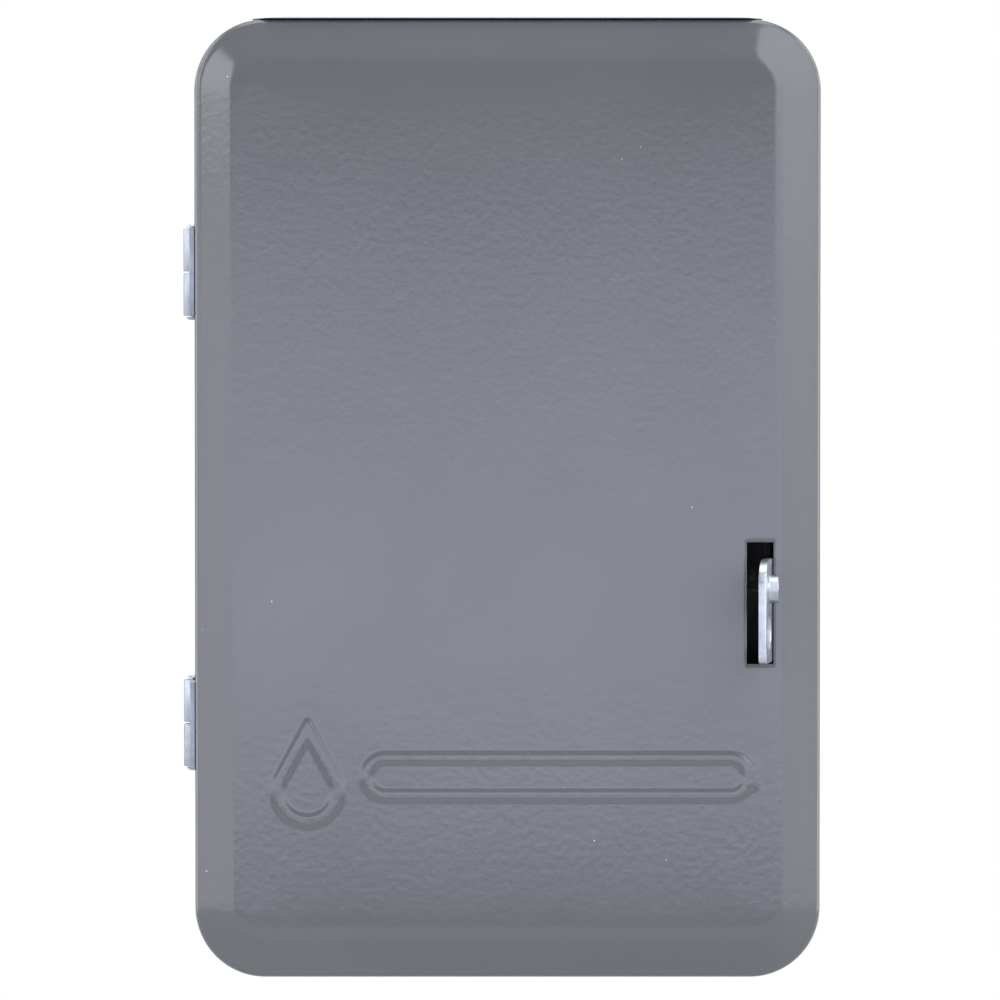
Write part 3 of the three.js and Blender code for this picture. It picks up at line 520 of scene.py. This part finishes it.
def make_door():
    """The door's outer and inner sheets, the wall of its slot, its skirt and its rim, as one closed skin."""
    form = DoorForm()
    slot_left, slot_right, slot_bottom, slot_top = form.slot
    inner_x = form.half_width - form.corner
    inner_z = form.half_height - form.corner
    lines_x, lines_z, rings = door_lines(form, inner_x, inner_z)
    snap = 1e-7
    corner_steps = 24
    points, faces, index = [], [], {}

    def vertex(kind, x, z, inset):
        key = (kind, round(x / snap), round(z / snap))
        if key not in index:
            y = form.depth(inset, x, z)
            if kind == "in":
                # the inner face lies one sheet's thickness inside the outer one
                inward = form.sheet * ease(1 - inset / form.border)
                reach_x, reach_z = max(abs(x) - inner_x, 0.0), max(abs(z) - inner_z, 0.0)
                reach = math.hypot(reach_x, reach_z) or 1.0
                y = y + form.sheet
                x -= math.copysign(inward * reach_x / reach, x)
                z -= math.copysign(inward * reach_z / reach, z)
            index[key] = len(points)
            points.append((x, y, z))
        return index[key]

    def add_face(kind, corners):
        """A face on the outer ("out") or inner ("in") sheet; corners are (x, z, inset) of up to 4 points."""
        face = list(dict.fromkeys(vertex(kind, x, z, inset) for x, z, inset in corners))
        if len(face) > 2:
            faces.append(face if kind == "out" else face[::-1])

    def inset_at(x, z):
        return min(form.half_width - abs(x), form.half_height - abs(z))

    def add_flats(kind):
        for x0, x1 in zip(lines_x, lines_x[1:]):
            for z0, z1 in zip(lines_z, lines_z[1:]):
                middle_x, middle_z = (x0 + x1) / 2, (z0 + z1) / 2
                in_corner = abs(middle_x) > inner_x and abs(middle_z) > inner_z
                in_slot = slot_left < middle_x < slot_right and slot_bottom < middle_z < slot_top
                if not in_corner and not in_slot:
                    square = ((x0, z0), (x1, z0), (x1, z1), (x0, z1))
                    add_face(kind, [(x, z, inset_at(x, z)) for x, z in square])

    def add_corner(kind, side_x, side_z):
        for outer, inner in zip(rings, rings[1:]):
            for step in range(corner_steps):
                ring = []
                for inset, turn in ((outer, step), (outer, step + 1), (inner, step + 1), (inner, step)):
                    angle = math.pi / 2 * turn / corner_steps
                    radius = form.corner - inset
                    x = side_x * (inner_x + radius * math.cos(angle))
                    z = side_z * (inner_z + radius * math.sin(angle))
                    ring.append((x, z, inset))
                add_face(kind, ring if side_x * side_z > 0 else ring[::-1])

    for kind in ("out", "in"):
        add_flats(kind)
        for side_x in (-1, 1):
            for side_z in (-1, 1):
                add_corner(kind, side_x, side_z)
    close_door(form, points, faces, index)
    outer = from_lists("door_skin", points, faces, MATERIALS["grey_enamel"], 40)
    round_rims(outer.data)
    return stand_in(outer, "door_panel")


def close_door(form, points, faces, index):
    """Joins the outer and inner sheets round the slot, and round the outline by a skirt back to the rim."""
    partner = {here: index[("in",) + key[1:]] for key, here in index.items() if key[0] == "out"}
    slot_x, slot_z = form.half_width - 5 * MM, 60 * MM  # the slot's edges lie within these
    once = {}
    for face in faces:
        for a, b in zip(face, face[1:] + face[:1]):
            edge = (min(a, b), max(a, b))
            once[edge] = None if edge in once else (a, b)
    rim = {}

    def at_rim(v):
        if v not in rim:
            rim[v] = len(points)
            points.append((points[v][0], form.back, points[v][2]))
        return rim[v]

    for pair in list(once.values()):
        if not pair or pair[0] not in partner:
            continue
        a, b = pair
        inner_a, inner_b = partner[a], partner[b]
        if abs(points[a][0]) < slot_x and abs(points[a][2]) < slot_z:
            faces.append([b, a, inner_a, inner_b])
        else:
            faces.append([b, a, at_rim(a), at_rim(b)])
            faces.append([at_rim(b), at_rim(a), at_rim(inner_a), at_rim(inner_b)])
            faces.append([at_rim(inner_b), at_rim(inner_a), inner_a, inner_b])


def round_rims(mesh):
    """Breaks the sharp edges of a sheet-metal mesh."""
    bm = bmesh.new()
    bm.from_mesh(mesh)
    bmesh.ops.bevel(bm, geom=sharp_edges(bm, 50), offset=0.16 * MM, segments=2, profile=0.5,
                    affect="EDGES", clamp_overlap=True)
    bm.to_mesh(mesh)
    bm.free()
    smooth(mesh, 40)


# ---- shape helpers

def bands(rows, count):
    """Faces joining rows of count points one after another, each row closed on itself."""
    faces = []
    for i in range(rows - 1):
        for j in range(count):
            k = (j + 1) % count
            faces.append((i * count + j, i * count + k, (i + 1) * count + k, (i + 1) * count + j))
    return faces


def strip(sections):
    """Equal-length point loops joined one after another, with a cap on the first and last."""
    count = len(sections[0])
    points = [point for loop in sections for point in loop]
    faces = bands(len(sections), count)
    faces.append(tuple(range(count))[::-1])
    faces.append(tuple((len(sections) - 1) * count + j for j in range(count)))
    return points, faces


def merged(*shapes):
    """Several (points, faces) shapes as one."""
    points, faces = [], []
    for more_points, more_faces in shapes:
        base = len(points)
        points.extend(more_points)
        faces.extend(tuple(base + v for v in face) for face in more_faces)
    return points, faces


def turned(profile, centre, axis="y", steps=48):
    """A solid of revolution: profile is (radius, distance along the axis) in mm, from axis back to axis."""
    points = []
    for radius, along in profile:
        for i in range(steps):
            angle = 2 * math.pi * i / steps
            a, b = radius * math.cos(angle), radius * math.sin(angle)
            if axis == "y":
                points.append((centre[0] + a, along, centre[1] + b))
            else:
                points.append((centre[0] + a, centre[1] + b, along))
    return points, bands(len(profile), steps)


def extruded(outline, low, high, axis="z", edge=0.0):
    """A prism from a 2-D outline in mm, its two rims rounded by edge where asked."""
    levels = [(low, 0.0), (high, 0.0)]
    if edge:
        levels = [(low, edge), (low + edge * 0.29, edge * 0.29), (low + edge, 0.0),
                  (high - edge, 0.0), (high - edge * 0.29, edge * 0.29), (high, edge)]
    sections = []
    for level, inset in levels:
        loop = inset_outline(outline, inset) if inset else outline
        if axis == "z":
            sections.append([(a, b, level) for a, b in loop])
        else:
            sections.append([(a, level, b) for a, b in loop])
    return strip(sections)


def inset_outline(outline, inset):
    """The outline moved in by inset, each corner along its bisector."""
    area = sum(a[0] * b[1] - b[0] * a[1] for a, b in zip(outline, outline[1:] + outline[:1]))
    side = 1 if area > 0 else -1
    moved = []
    for before, here, after in zip(outline[-1:] + outline[:-1], outline, outline[1:] + outline[:1]):
        one = Vector((here[0] - before[0], here[1] - before[1])).normalized()
        two = Vector((after[0] - here[0], after[1] - here[1])).normalized()
        normal = Vector((-(one.y + two.y), one.x + two.x)) * side
        if normal.length < 1e-6:
            normal = Vector((-one.y, one.x)) * side
        normal.normalize()
        spread_by = max(0.3, normal.dot(Vector((-one.y, one.x)) * side))
        moved.append((here[0] + normal.x * inset / spread_by, here[1] + normal.y * inset / spread_by))
    return moved


def rounded_box(x0, x1, y0, y1, radius, steps=6):
    """A rectangle's outline with round corners, anticlockwise."""
    outline = []
    for cx, cy, start in ((x1 - radius, y1 - radius, 0), (x0 + radius, y1 - radius, 90),
                          (x0 + radius, y0 + radius, 180), (x1 - radius, y0 + radius, 270)):
        for i in range(steps + 1):
            angle = math.radians(start + 90 * i / steps)
            outline.append((cx + radius * math.cos(angle), cy + radius * math.sin(angle)))
    return outline


def built(name, shape, node, material=None, angle=32):
    """A shape given in mm, standing in for its CAD node."""
    points, faces = shape
    points = [(x * MM, y * MM, z * MM) for x, y, z in points]
    return stand_in(from_lists(name, points, faces, material or MATERIALS[SLOT_OF[node]], angle), node)


# ---- rain hood and hinges

def make_rain_hood():
    """The drip lip over the door: its front slopes down a little and its ends die away."""
    straight, round_from, end = 44.0, 48.0, 52.5  # x where its ends begin to sink, to round off, and stop
    sinks_to = 98.62  # what is above this z sinks towards it at the ends
    draws_back_to = -61.5  # what is in front of this y draws back to it
    slope_start, slope_length, slope_drop, steps = -61, 12.4, 0.88, 16
    top = [(-44.0, 97.65), (-58.9, 97.65), (-59.4, 97.78), (-59.72, 98.05), (-59.8, 98.45),
           (-59.85, 98.95), (-60.05, 99.3), (-60.45, 99.46), (-61.0, 99.5)]
    for i in range(1, steps + 1):
        top.append((slope_start - slope_length * i / steps, 99.5 - slope_drop * (i / steps) ** 3))
    nose = [(-73.46, 98.60), (-73.48, 98.57), (-73.45, 98.54)]
    bottom = [(-73.3, 98.53), (-72.4, 98.58), (-71.0, 98.70), (-67.0, 98.70), (-61.4, 98.70),
              (-61.0, 98.62), (-60.84, 98.4), (-60.8, 98.0), (-60.8, 97.4), (-60.7, 97.1),
              (-60.45, 96.92), (-60.1, 96.85), (-52.0, 96.85), (-44.0, 96.85)]
    stations = spread(-end, -straight, 0.5) + spread(-straight, straight, 4.0)
    stations += spread(straight, end, 0.5) + [end]
    sections = []
    for x in stations:
        out = max(0.0, (abs(x) - straight) / (end - straight))
        low = 1 - 0.80 * out ** 2.2
        back = 4.5 * max(0.0, (abs(x) - round_from) / (end - round_from)) ** 2
        loop = []
        for y, z in top + nose + bottom:
            if z > sinks_to:
                z = sinks_to + (z - sinks_to) * low
            if y < draws_back_to:
                y = min(y + back * (draws_back_to - y) / 12.0, draws_back_to)
            loop.append((x, y, z))
        sections.append(loop)
    return built("rain_hood_look", strip(sections), "rain_hood", angle=28)


def barrel(low, high):
    """A rolled knuckle with its seam, about the hinge axis."""
    outer, inner = 2.0, 1.0
    start, end, steps = math.radians(-262), math.radians(90), 40
    x, y = HINGE_AXIS
    angles = [start + (end - start) * i / steps for i in range(steps + 1)]
    outline = []
    for radius, way in ((outer, angles), (inner, angles[::-1])):
        outline += [(x + radius * math.cos(angle), y + radius * math.sin(angle)) for angle in way]
    return extruded(outline, low, high, edge=0.14)


def make_hinge(level, height):
    """One hinge at z = height: a leaf on the case, a leaf on the door and a pin with two domed heads."""
    half, gap = 9.0, 0.2  # half the hinge's length, and half the gap between its two knuckles
    case_outline = [(-63.45, -45.3), (-63.3, -45.0), (-62.8, -45.0), (-62.65, -45.3), (-62.65, -58.4),
                    (-62.75, -58.75), (-63.0, -58.9), (-63.3, -58.85), (-63.45, -58.5)]
    case_tongue = [(-63.45, -58.0), (-62.65, -58.0), (-62.66, -59.2), (-62.9, -60.2), (-63.1, -60.9),
                   (-63.75, -61.2), (-63.9, -60.4), (-63.6, -59.4)]
    door_outline = [(-65.35, -63.4), (-65.2, -63.1), (-64.4, -63.1), (-64.26, -63.4), (-64.26, -71.3),
                    (-64.35, -71.5), (-65.2, -71.5), (-65.35, -71.2)]
    door_tongue = [(-65.35, -64.2), (-64.55, -64.2), (-64.6, -63.2), (-64.75, -62.4), (-65.5, -62.4),
                   (-65.45, -63.2)]
    for side, outline, tongue, low, high in (
        ("case", case_outline, case_tongue, height - half, height - gap),
        ("door", door_outline, door_tongue, height + gap, height + half),
    ):
        leaf = merged(extruded(outline[::-1], height - half, height + half, edge=0.12),
                      extruded(tongue[::-1], low, high, edge=0.1),
                      barrel(low, high))
        node = f"{side}_hinge_leaf_{level}"
        # the hinges take the darker zinc copy, whose darker colour is painted shade
        built(f"{node}_look", leaf, node, material=HINGE_ZINC_PAINTED_SHADE)
    end = half + 0.3  # the pin's heads stand clear of the knuckles
    head = [(0.0, 0.6), (0.7, 0.56), (1.15, 0.38), (1.36, 0.15), (1.4, 0.0), (1.36, -0.04)]
    profile = [(r, height - end - along) for r, along in head]
    profile += [(0.72, height - end + 0.05), (0.72, height + end - 0.05)]
    profile += [(r, height + end + along) for r, along in reversed(head)]
    built(f"hinge_pin_{level}_look", turned(profile, HINGE_AXIS, "z", 24), f"hinge_pin_{level}")


# ---- prints

NUMBERS = {}
PRINT_LIFT = 0.035  # how far a print stands off its face, in mm
DIAL_FACE, FACEPLATE_FACE, LABEL_FACE = -49.2, -42.0, -74.55


def number_shape(text, size):
    """The outline of a plain number as flat (points, faces) about its middle, in mm."""
    if (text, size) not in NUMBERS:
        curve = bpy.data.curves.new("number", "FONT")
        curve.body, curve.size = text, size
        curve.align_x, curve.align_y = "CENTER", "CENTER"
        curve.resolution_u = 3
        carrier = bpy.data.objects.new("number", curve)
        bpy.context.scene.collection.objects.link(carrier)
        bpy.context.view_layer.update()
        mesh = bpy.data.meshes.new_from_object(carrier)
        corners = [(v.co.x, v.co.y) for v in mesh.vertices]
        NUMBERS[(text, size)] = (corners, [tuple(p.vertices) for p in mesh.polygons])
        bpy.data.objects.remove(carrier)
        bpy.data.curves.remove(curve)
        bpy.data.meshes.remove(mesh)
    return NUMBERS[(text, size)]


def placed(shape, x, z, turn=0.0):
    """A flat shape turned by turn degrees and moved to (x, z)."""
    points, faces = shape
    c, s = math.cos(math.radians(turn)), math.sin(math.radians(turn))
    return [(x + c * a - s * b, z + s * a + c * b) for a, b in points], faces


def line_shape(x0, z0, x1, z1, width):
    along = Vector((x1 - x0, z1 - z0)).normalized()
    side = Vector((-along.y, along.x)) * (width / 2)
    return [(x0 - side.x, z0 - side.y), (x1 - side.x, z1 - side.y), (x1 + side.x, z1 + side.y),
            (x0 + side.x, z0 + side.y)], [(0, 1, 2, 3)]


def arc_shape(centre, inner, outer, start, end, steps=48):
    """A stroke round a centre, from start to end degrees."""
    cx, cz = centre
    points, faces = [], []
    for i in range(steps + 1):
        angle = math.radians(start + (end - start) * i / steps)
        c, s = math.cos(angle), math.sin(angle)
        points += [(cx + inner * c, cz + inner * s), (cx + outer * c, cz + outer * s)]
    for i in range(steps):
        faces.append((2 * i, 2 * i + 1, 2 * i + 3, 2 * i + 2))
    return points, faces


def printed(name, marks, level, material, node, facing=-1):
    """Flat marks laid on a face at y = level mm, seen from in front (facing -1) or from behind (+1)."""
    points, faces = merged(*marks)
    mesh = bpy.data.meshes.new(name)
    order = [tuple(face) if facing < 0 else tuple(face)[::-1] for face in faces]
    mesh.from_pydata([(x * MM, level * MM, z * MM) for x, z in points], [], order)
    piece = make_object(name, mesh, material)
    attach(piece, BODY_OF[node])


def ring_ticks(centre, inner, outer, angles, width):
    """Radial strokes at these angles in degrees."""
    cx, cz = centre
    marks = []
    for degrees in angles:
        c, s = math.cos(math.radians(degrees)), math.sin(math.radians(degrees))
        marks.append(line_shape(cx + inner * c, cz + inner * s, cx + outer * c, cz + outer * s, width))
    return marks


def round_centre(centre, radius, degrees):
    return (centre[0] + radius * math.cos(math.radians(degrees)),
            centre[1] + radius * math.sin(math.radians(degrees)))


def make_dial_print():
    """A 24-hour scale: hours and quarters, with a dark band for the night."""
    hour_step, quarter_step = 15, 3.75
    rim_arcs = ((44.2, 44.5), (36.9, 37.1))
    marks = ring_ticks(DIAL_CENTRE, 37.2, 44.2, [hour_step * i for i in range(24)], 0.45)
    marks += ring_ticks(DIAL_CENTRE, 41.4, 44.2, [quarter_step * i for i in range(96) if i % 4], 0.22)
    marks += [arc_shape(DIAL_CENTRE, inner, outer, 0, 360, 96) for inner, outer in rim_arcs]
    for hour in range(24):
        degrees = -90 + hour_step * hour
        x, z = round_centre(DIAL_CENTRE, 33.4, degrees)
        marks.append(placed(number_shape(str((hour - 1) % 12 + 1), 4.4), x, z, degrees - 90))
    for inner, outer, start, end in ((27.2, 29.6, 180, 360), (27.2, 27.45, 0, 180), (29.35, 29.6, 0, 180)):
        marks.append(arc_shape(DIAL_CENTRE, inner, outer, start, end, 60))
    printed("dial_scale", marks, DIAL_FACE - PRINT_LIFT, INK_BLACK, "dial_plate")


def make_face_print():
    """The yellow-green day scale round the skipper wheel, and lines that set off the other controls."""
    day_step = 24.5
    marks = []
    for day in range(12):
        # the second number is lifted clear of the long tick: both show through the door's slot
        lift = 7.0 if day == 1 else 0.0
        x, z = round_centre(SKIPPER_CENTRE, 25.6, -24.5 + day_step * day + lift)
        marks.append(placed(number_shape(str(day + 1), 3.4), x, z, 0))
    marks += ring_ticks(SKIPPER_CENTRE, 19.2, 23.2, [day_step * i for i in range(-1, 11) if i], 0.55)
    marks += ring_ticks(SKIPPER_CENTRE, 19.2, 27.4, [0], 0.55)
    marks += ring_ticks(SKIPPER_CENTRE, 19.2, 21.2, [-36.7 + day_step * i for i in range(13)], 0.3)
    marks.append(arc_shape(SKIPPER_CENTRE, 18.6, 18.95, -40, 262, 90))
    marks.append(arc_shape(LEVER_CENTRE, 19.6, 20.1, 112, 154, 24))
    marks += ring_ticks(LEVER_CENTRE, 17.4, 19.6, [116, 133, 150], 0.7)
    for x0, z0, x1, z1 in ((-54, 85.6, 52, 85.6), (-54, -8.5, -42, -8.5)):
        marks.append(line_shape(x0, z0, x1, z1, 0.45))
    for start, end in ((-72, -20), (200, 252)):
        marks.append(arc_shape(DIAL_CENTRE, 46.9, 47.35, start, end, 40))
    printed("face_scale", marks, FACEPLATE_FACE - PRINT_LIFT, INK_YELLOW, "faceplate")


def make_label_print():
    """Ruled rows, a blank table and a plain wiring diagram; no words."""
    left, right, bottom, top, table_top = -44, 38, 10, 80, 42
    marks = []
    corners = [(left, bottom), (right, bottom), (right, top), (left, top)]
    for (x0, z0), (x1, z1) in zip(corners, corners[1:] + corners[:1]):
        marks.append(line_shape(x0, z0, x1, z1, 0.5))
    for row in range(8):
        marks.append(line_shape(left, 14 + 4 * row, right, 14 + 4 * row, 0.2))
    for column in (-24, -3, 18):
        marks.append(line_shape(column, bottom, column, table_top, 0.25))
    marks.append(line_shape(left, table_top, right, table_top, 0.4))
    for post in range(5):
        x = -31 + 14 * post
        marks.append(arc_shape((x, 49), 1.5, 1.9, 0, 360, 24))
        marks.append(line_shape(x, 51, x, 57 + 3 * (post % 3), 0.35))
    wires = (
        (-31, 57, -17, 57), (-17, 57, -17, 60), (-3, 63, 11, 63), (11, 60, 11, 63), (25, 60, 25, 66),
        (-31, 57, -31, 72), (-31, 72, -12, 72), (0, 72, 25, 72), (25, 60, 25, 72),
        (-12, 68.5, 0, 68.5), (-12, 75.5, 0, 75.5), (-12, 68.5, -12, 75.5), (0, 68.5, 0, 75.5),
    )
    for x0, z0, x1, z1 in wires:
        marks.append(line_shape(x0, z0, x1, z1, 0.35))
    printed("label_ruling", marks, LABEL_FACE + PRINT_LIFT, INK_GREY, "door_label", facing=1)


# ---- screws, knob and leads

def disc_segment(radius, half_slot, side, turn, steps=20):
    """The part of a disc on one side of a screwdriver slot."""
    edge = math.asin(half_slot / radius)
    outline = []
    for i in range(steps + 1):
        angle = edge + (math.pi - 2 * edge) * i / steps
        outline.append((radius * math.cos(angle), radius * math.sin(angle) * side))
    c, s = math.cos(turn), math.sin(turn)
    return [(c * a - s * b, s * a + c * b) for a, b in outline]


def slotted_head(centre, radius, back, front, turn):
    """A cheese head with a real slot, its front at y = front."""
    floor = front + 0.45 * abs(back - front)
    profile = [(0.0, back), (radius - 0.1, back), (radius, back - 0.12), (radius, floor), (0.0, floor)]
    shapes = [turned(profile, centre)]
    for side in (1, -1):
        outline = [(centre[0] + a, centre[1] + b) for a, b in disc_segment(radius, 0.42, side, turn)]
        shapes.append(extruded(outline, front, floor + 0.05, axis="y", edge=0.12))
    return merged(*shapes)


# Slotted screws by the start of their names, in mm: head radius, head depth and shank radius.
SLOTTED = {
    "terminal_screw": (3.9, 2.3, 1.7),
    "faceplate_screw": (3.4, 2.0, 1.45),
    "chassis_screw": (3.8, 2.2, 1.7),
    "ground_screw": (3.8, 2.1, 1.7),
}


def make_slotted(node, kind, extra=()):
    """A screw whose head's front face is the node's front."""
    radius, head_depth, shank = SLOTTED[kind]
    low, high = box_in_mm(node)
    centre = ((low.x + high.x) / 2, (low.z + high.z) / 2)
    back = low.y + head_depth
    turn = random.uniform(0, math.pi)
    end = high.y
    profile = [(0.0, back - 0.1), (shank, back - 0.1), (shank, end - 0.4), (shank - 0.4, end), (0.0, end)]
    parts = [slotted_head(centre, radius, back, low.y, turn), turned(profile, centre, steps=24)]
    built(f"{node}_look", merged(*parts, *extra), node)


def make_screws():
    """The terminal screws, each with its square washer, then the others."""
    washer_front, washer_back, inset = -19.7, -18.8, 0.02
    nodes = sorted(NODES)
    for node in nodes:
        if node.startswith("terminal_screw"):
            low, high = box_in_mm(node)
            washer = rounded_box(low.x + inset, high.x - inset, low.z + inset, high.z - inset, 1.2)
            plate = extruded(washer, washer_front, washer_back, axis="y", edge=0.15)
            make_slotted(node, "terminal_screw", [plate])
    for node in nodes:
        for kind in ("faceplate_screw", "chassis_screw", "ground_screw"):
            if node.startswith(kind):
                make_slotted(node, kind)


def fluted(centre, radius, depth, flutes, per=8):
    """The outline of a grip with rounded flutes."""
    outline = []
    for i in range(flutes * per):
        angle = 2 * math.pi * i / (flutes * per)
        r = radius - depth * (0.5 - 0.5 * math.cos(flutes * angle)) ** 1.5
        outline.append((centre[0] + r * math.cos(angle), centre[1] + r * math.sin(angle)))
    return outline


def make_dial_knob():
    """A fluted skirt, a turned cap and a grip bar that carries the pointer."""
    low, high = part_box("dial_knob")
    front, back = low.y / MM, high.y / MM
    skirt = extruded(fluted(DIAL_CENTRE, 13.5, 0.55, 32), -55.0, back, axis="y", edge=0.3)
    cap = turned([(0.0, -54.8), (10.5, -54.8), (10.5, front + 0.7), (10.3, front + 0.25), (9.8, front),
                  (7.4, front), (7.0, front + 0.15), (6.8, front + 0.5), (0.0, front + 0.55)], DIAL_CENTRE)
    bar = [(-1.5, 29.7), (1.5, 29.7), (1.5, 50.3), (-1.5, 50.3)]
    grip = extruded(bar, front + 0.02, front + 2.0, axis="y", edge=0.3)
    built("dial_knob_look", merged(skirt, cap, grip), "dial_knob", angle=40)
    arrow = ([(-1.0, 47.0), (1.0, 47.0), (0.0, 49.4)], [(0, 1, 2)])
    printed("knob_arrow", [arrow, line_shape(0, 31.5, 0, 47.0, 0.6)], front, INK_WHITE, "dial_knob")


def make_tripper_screws():
    """Thumb screws with knurled heads."""
    head_back = -51.3
    for node in ("tripper_screw_on", "tripper_screw_off"):
        low, high = box_in_mm(node)
        centre = ((low.x + high.x) / 2, (low.z + high.z) / 2)
        head = extruded(fluted(centre, 2.9, 0.22, 24, 6), low.y, head_back, axis="y", edge=0.22)
        profile = [(0.0, -51.4), (1.2, -51.4), (1.2, high.y - 0.2), (1.0, high.y), (0.0, high.y)]
        shank = turned(profile, centre, steps=24)
        built(f"{node}_look", merged(head, shank), node, angle=40)


# ---- plain pieces

def dress_rest():
    """Every CAD node that has no piece of its own yet."""
    edges = {"dial_plate": 0.1, "door_label": 0.05, "hasp_spring": 0.08, "stage_gear": 0.08,
             "dial_gear": 0.08, "motor_pinion": 0.08, "case_shell": 0.25}
    for node in sorted(NODES):
        if node in ("motor_lead_white", "motor_lead_black"):
            dressed(node, 0.0, angle=75)
        elif node not in MADE:
            # the hasp blade takes the brighter zinc copy, whose lighter colour is a painted highlight
            dressed(node, edges.get(node, 0.18), material=HASP_ZINC_PAINTED_HIGHLIGHT if node == "hasp_blade" else None)


# ---- camera, lights and floor

# Soft lights in the studio's surroundings, seen from the object: azimuth from the front (+ to the right) and
# elevation, in degrees, each as (fades in from, full from, full to, faded out at), then strength and tint.
SOFT_LIGHTS = [
    ((-36, -28, 28, 36), (-6.8, -4.2, 1.45, 2.0), 1.33, (0.95, 0.90, 1.22)),
    ((-36, -28, 28, 36), (-6.2, -3.3, -2.6, 1.9), 1.55, (0.95, 0.90, 1.22)),
    ((-36, -28, 28, 36), (-24, -15, -10.5, -8.5), 1.3, (1.0, 0.97, 1.1)),
    ((-70, -62, -36, -28), (-8.0, -5.6, 0.7, 1.6), 2.30, (1.06, 0.955, 1.10)),
    ((28, 36, 62, 70), (-7.6, -4.8, 1.4, 2.4), 2.00, (1.01, 0.97, 1.13)),
    ((-72, -66, -42, -37), (1.6, 2.4, 26, 36), 3.8, (1.00, 0.98, 1.06)),
    ((8, 15, 60, 68), (0.6, 2.8, 47, 55), 3.2, (1.00, 0.97, 1.08)),
    ((-182, -181, 181, 182), (56, 72, 91, 92), 3.0, (0.98, 1.0, 1.03)),
]
for across, *rest in (
    ((60, 70, 112, 125), (-20, -6, 40, 60), 1.3, (0.98, 0.99, 1.04)),
    ((90, 98, 126, 138), (-14, -7, 12, 18), 1.8, (1.0, 1.0, 1.04)),
    ((98, 104, 118, 124), (12, 26, 44, 52), 3.4, (1.0, 1.0, 1.02)),
    ((135, 150, 181, 182), (2.5, 5, 40, 56), 1.2, (1.0, 0.99, 1.03)),
):
    SOFT_LIGHTS += [(tuple(-angle for angle in across[::-1]), *rest), (across, *rest)]  # one on each side
AMBIENT = (0.25, 0.26, 0.265)


def make_world():
    """White behind the object; for everything the object reflects, a dim room with soft lights in it."""
    world = bpy.data.worlds.new("studio")
    bpy.context.scene.world = world
    world.use_nodes = True
    tree = world.node_tree
    tree.nodes.clear()
    link = tree.links.new

    def new(kind):
        return tree.nodes.new("ShaderNode" + kind)

    def math_node(operation, *values):
        node = new("Math")
        node.operation = operation
        for index, value in enumerate(values):
            if isinstance(value, (float, int)):
                node.inputs[index].default_value = value
            else:
                link(value, node.inputs[index])
        return node.outputs["Value"]

    def step(value, start, end):
        """0 before start and 1 after end, easing between; the other way round if end is before start."""
        node = new("MapRange")
        node.interpolation_type = "SMOOTHSTEP"
        node.inputs["From Min"].default_value = min(start, end)
        node.inputs["From Max"].default_value = max(start, end)
        node.inputs["To Min"].default_value = 0.0 if start < end else 1.0
        node.inputs["To Max"].default_value = 1.0 if start < end else 0.0
        link(value, node.inputs["Value"])
        return node.outputs["Result"]

    coords = new("TexCoord").outputs["Generated"]
    split = new("SeparateXYZ")
    link(coords, split.inputs["Vector"])
    x, y, z = (split.outputs[axis] for axis in "XYZ")
    to_front = math_node("MULTIPLY", y, -1.0)
    azimuth = math_node("MULTIPLY", math_node("ARCTAN2", x, to_front), 180 / math.pi)
    elevation = math_node("MULTIPLY", math_node("ARCSINE", z), 180 / math.pi)
    total = None
    for across, up, strength, tint in SOFT_LIGHTS:
        window = 1.0
        for angle, edges in ((azimuth, across), (elevation, up)):
            window = math_node("MULTIPLY", step(angle, edges[0], edges[1]), window)
            window = math_node("MULTIPLY", step(angle, edges[3], edges[2]), window)
        scale = new("VectorMath")
        scale.operation = "SCALE"
        scale.inputs[0].default_value = tuple(strength * part for part in tint)
        link(window, scale.inputs["Scale"])
        add = new("VectorMath")
        add.operation = "ADD"
        add.inputs[0].default_value = AMBIENT
        if total:
            link(total, add.inputs[0])
        link(scale.outputs["Vector"], add.inputs[1])
        total = add.outputs["Vector"]
    seen = new("Background")
    seen.inputs["Color"].default_value = (1, 1, 1, 1)
    lit = new("Background")
    link(total, lit.inputs["Color"])
    path = new("LightPath")
    mix = new("MixShader")
    output = new("OutputWorld")
    link(path.outputs["Is Camera Ray"], mix.inputs["Fac"])
    link(lit.outputs["Background"], mix.inputs[1])
    link(seen.outputs["Background"], mix.inputs[2])
    link(mix.outputs["Shader"], output.inputs["Surface"])
    bpy.context.scene.view_settings.view_transform = "Standard"
    bpy.context.scene.view_settings.look = "None"


def make_floor():
    """Pale paper well below the case, for its soft light on what faces down."""
    mesh = bpy.data.meshes.new("floor")
    half = 2.2
    height = -0.42
    corners = [(-half, -half, height), (half, -half, height), (half, half, height), (-half, half, height)]
    mesh.from_pydata(corners, [], [(0, 1, 2, 3)])
    shader = Shader("floor_paper")
    paper = shader.ramp(shader.noise(0.4, 2), [(0.3, 0.50), (0.7, 0.53)])
    shader.feed(paper, "Base Color")
    shader.set(Roughness=0.9)
    make_object("floor", mesh, shader.material)


def make_camera():
    """The photo's view: a long lens, level with the door's middle and a little above it."""
    data = bpy.data.cameras.new("camera")
    data.lens = 210.0
    data.sensor_width = 36.0
    camera = bpy.data.objects.new("camera", data)
    bpy.context.scene.collection.objects.link(camera)
    aim_x, aim_z = -1.54 * MM, -0.05 * MM  # what lies in the photo's middle
    aim = Vector((aim_x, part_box("door_panel")[0].y, aim_z))
    away = 1.194
    rise = math.radians(1.6)
    camera.location = aim + Vector((0, -away * math.cos(rise), away * math.sin(rise)))
    camera.rotation_euler = (aim - camera.location).to_track_quat("-Z", "Y").to_euler()
    bpy.context.scene.camera = camera


# ---- scene

make_camera()
make_world()
make_floor()
make_door()
make_rain_hood()
for hinge_level, hinge_height in (("upper", 46.7), ("lower", -46.7)):
    make_hinge(hinge_level, hinge_height)
make_screws()
make_dial_knob()
make_tripper_screws()
dress_rest()
make_dial_print()
make_face_print()
make_label_print()
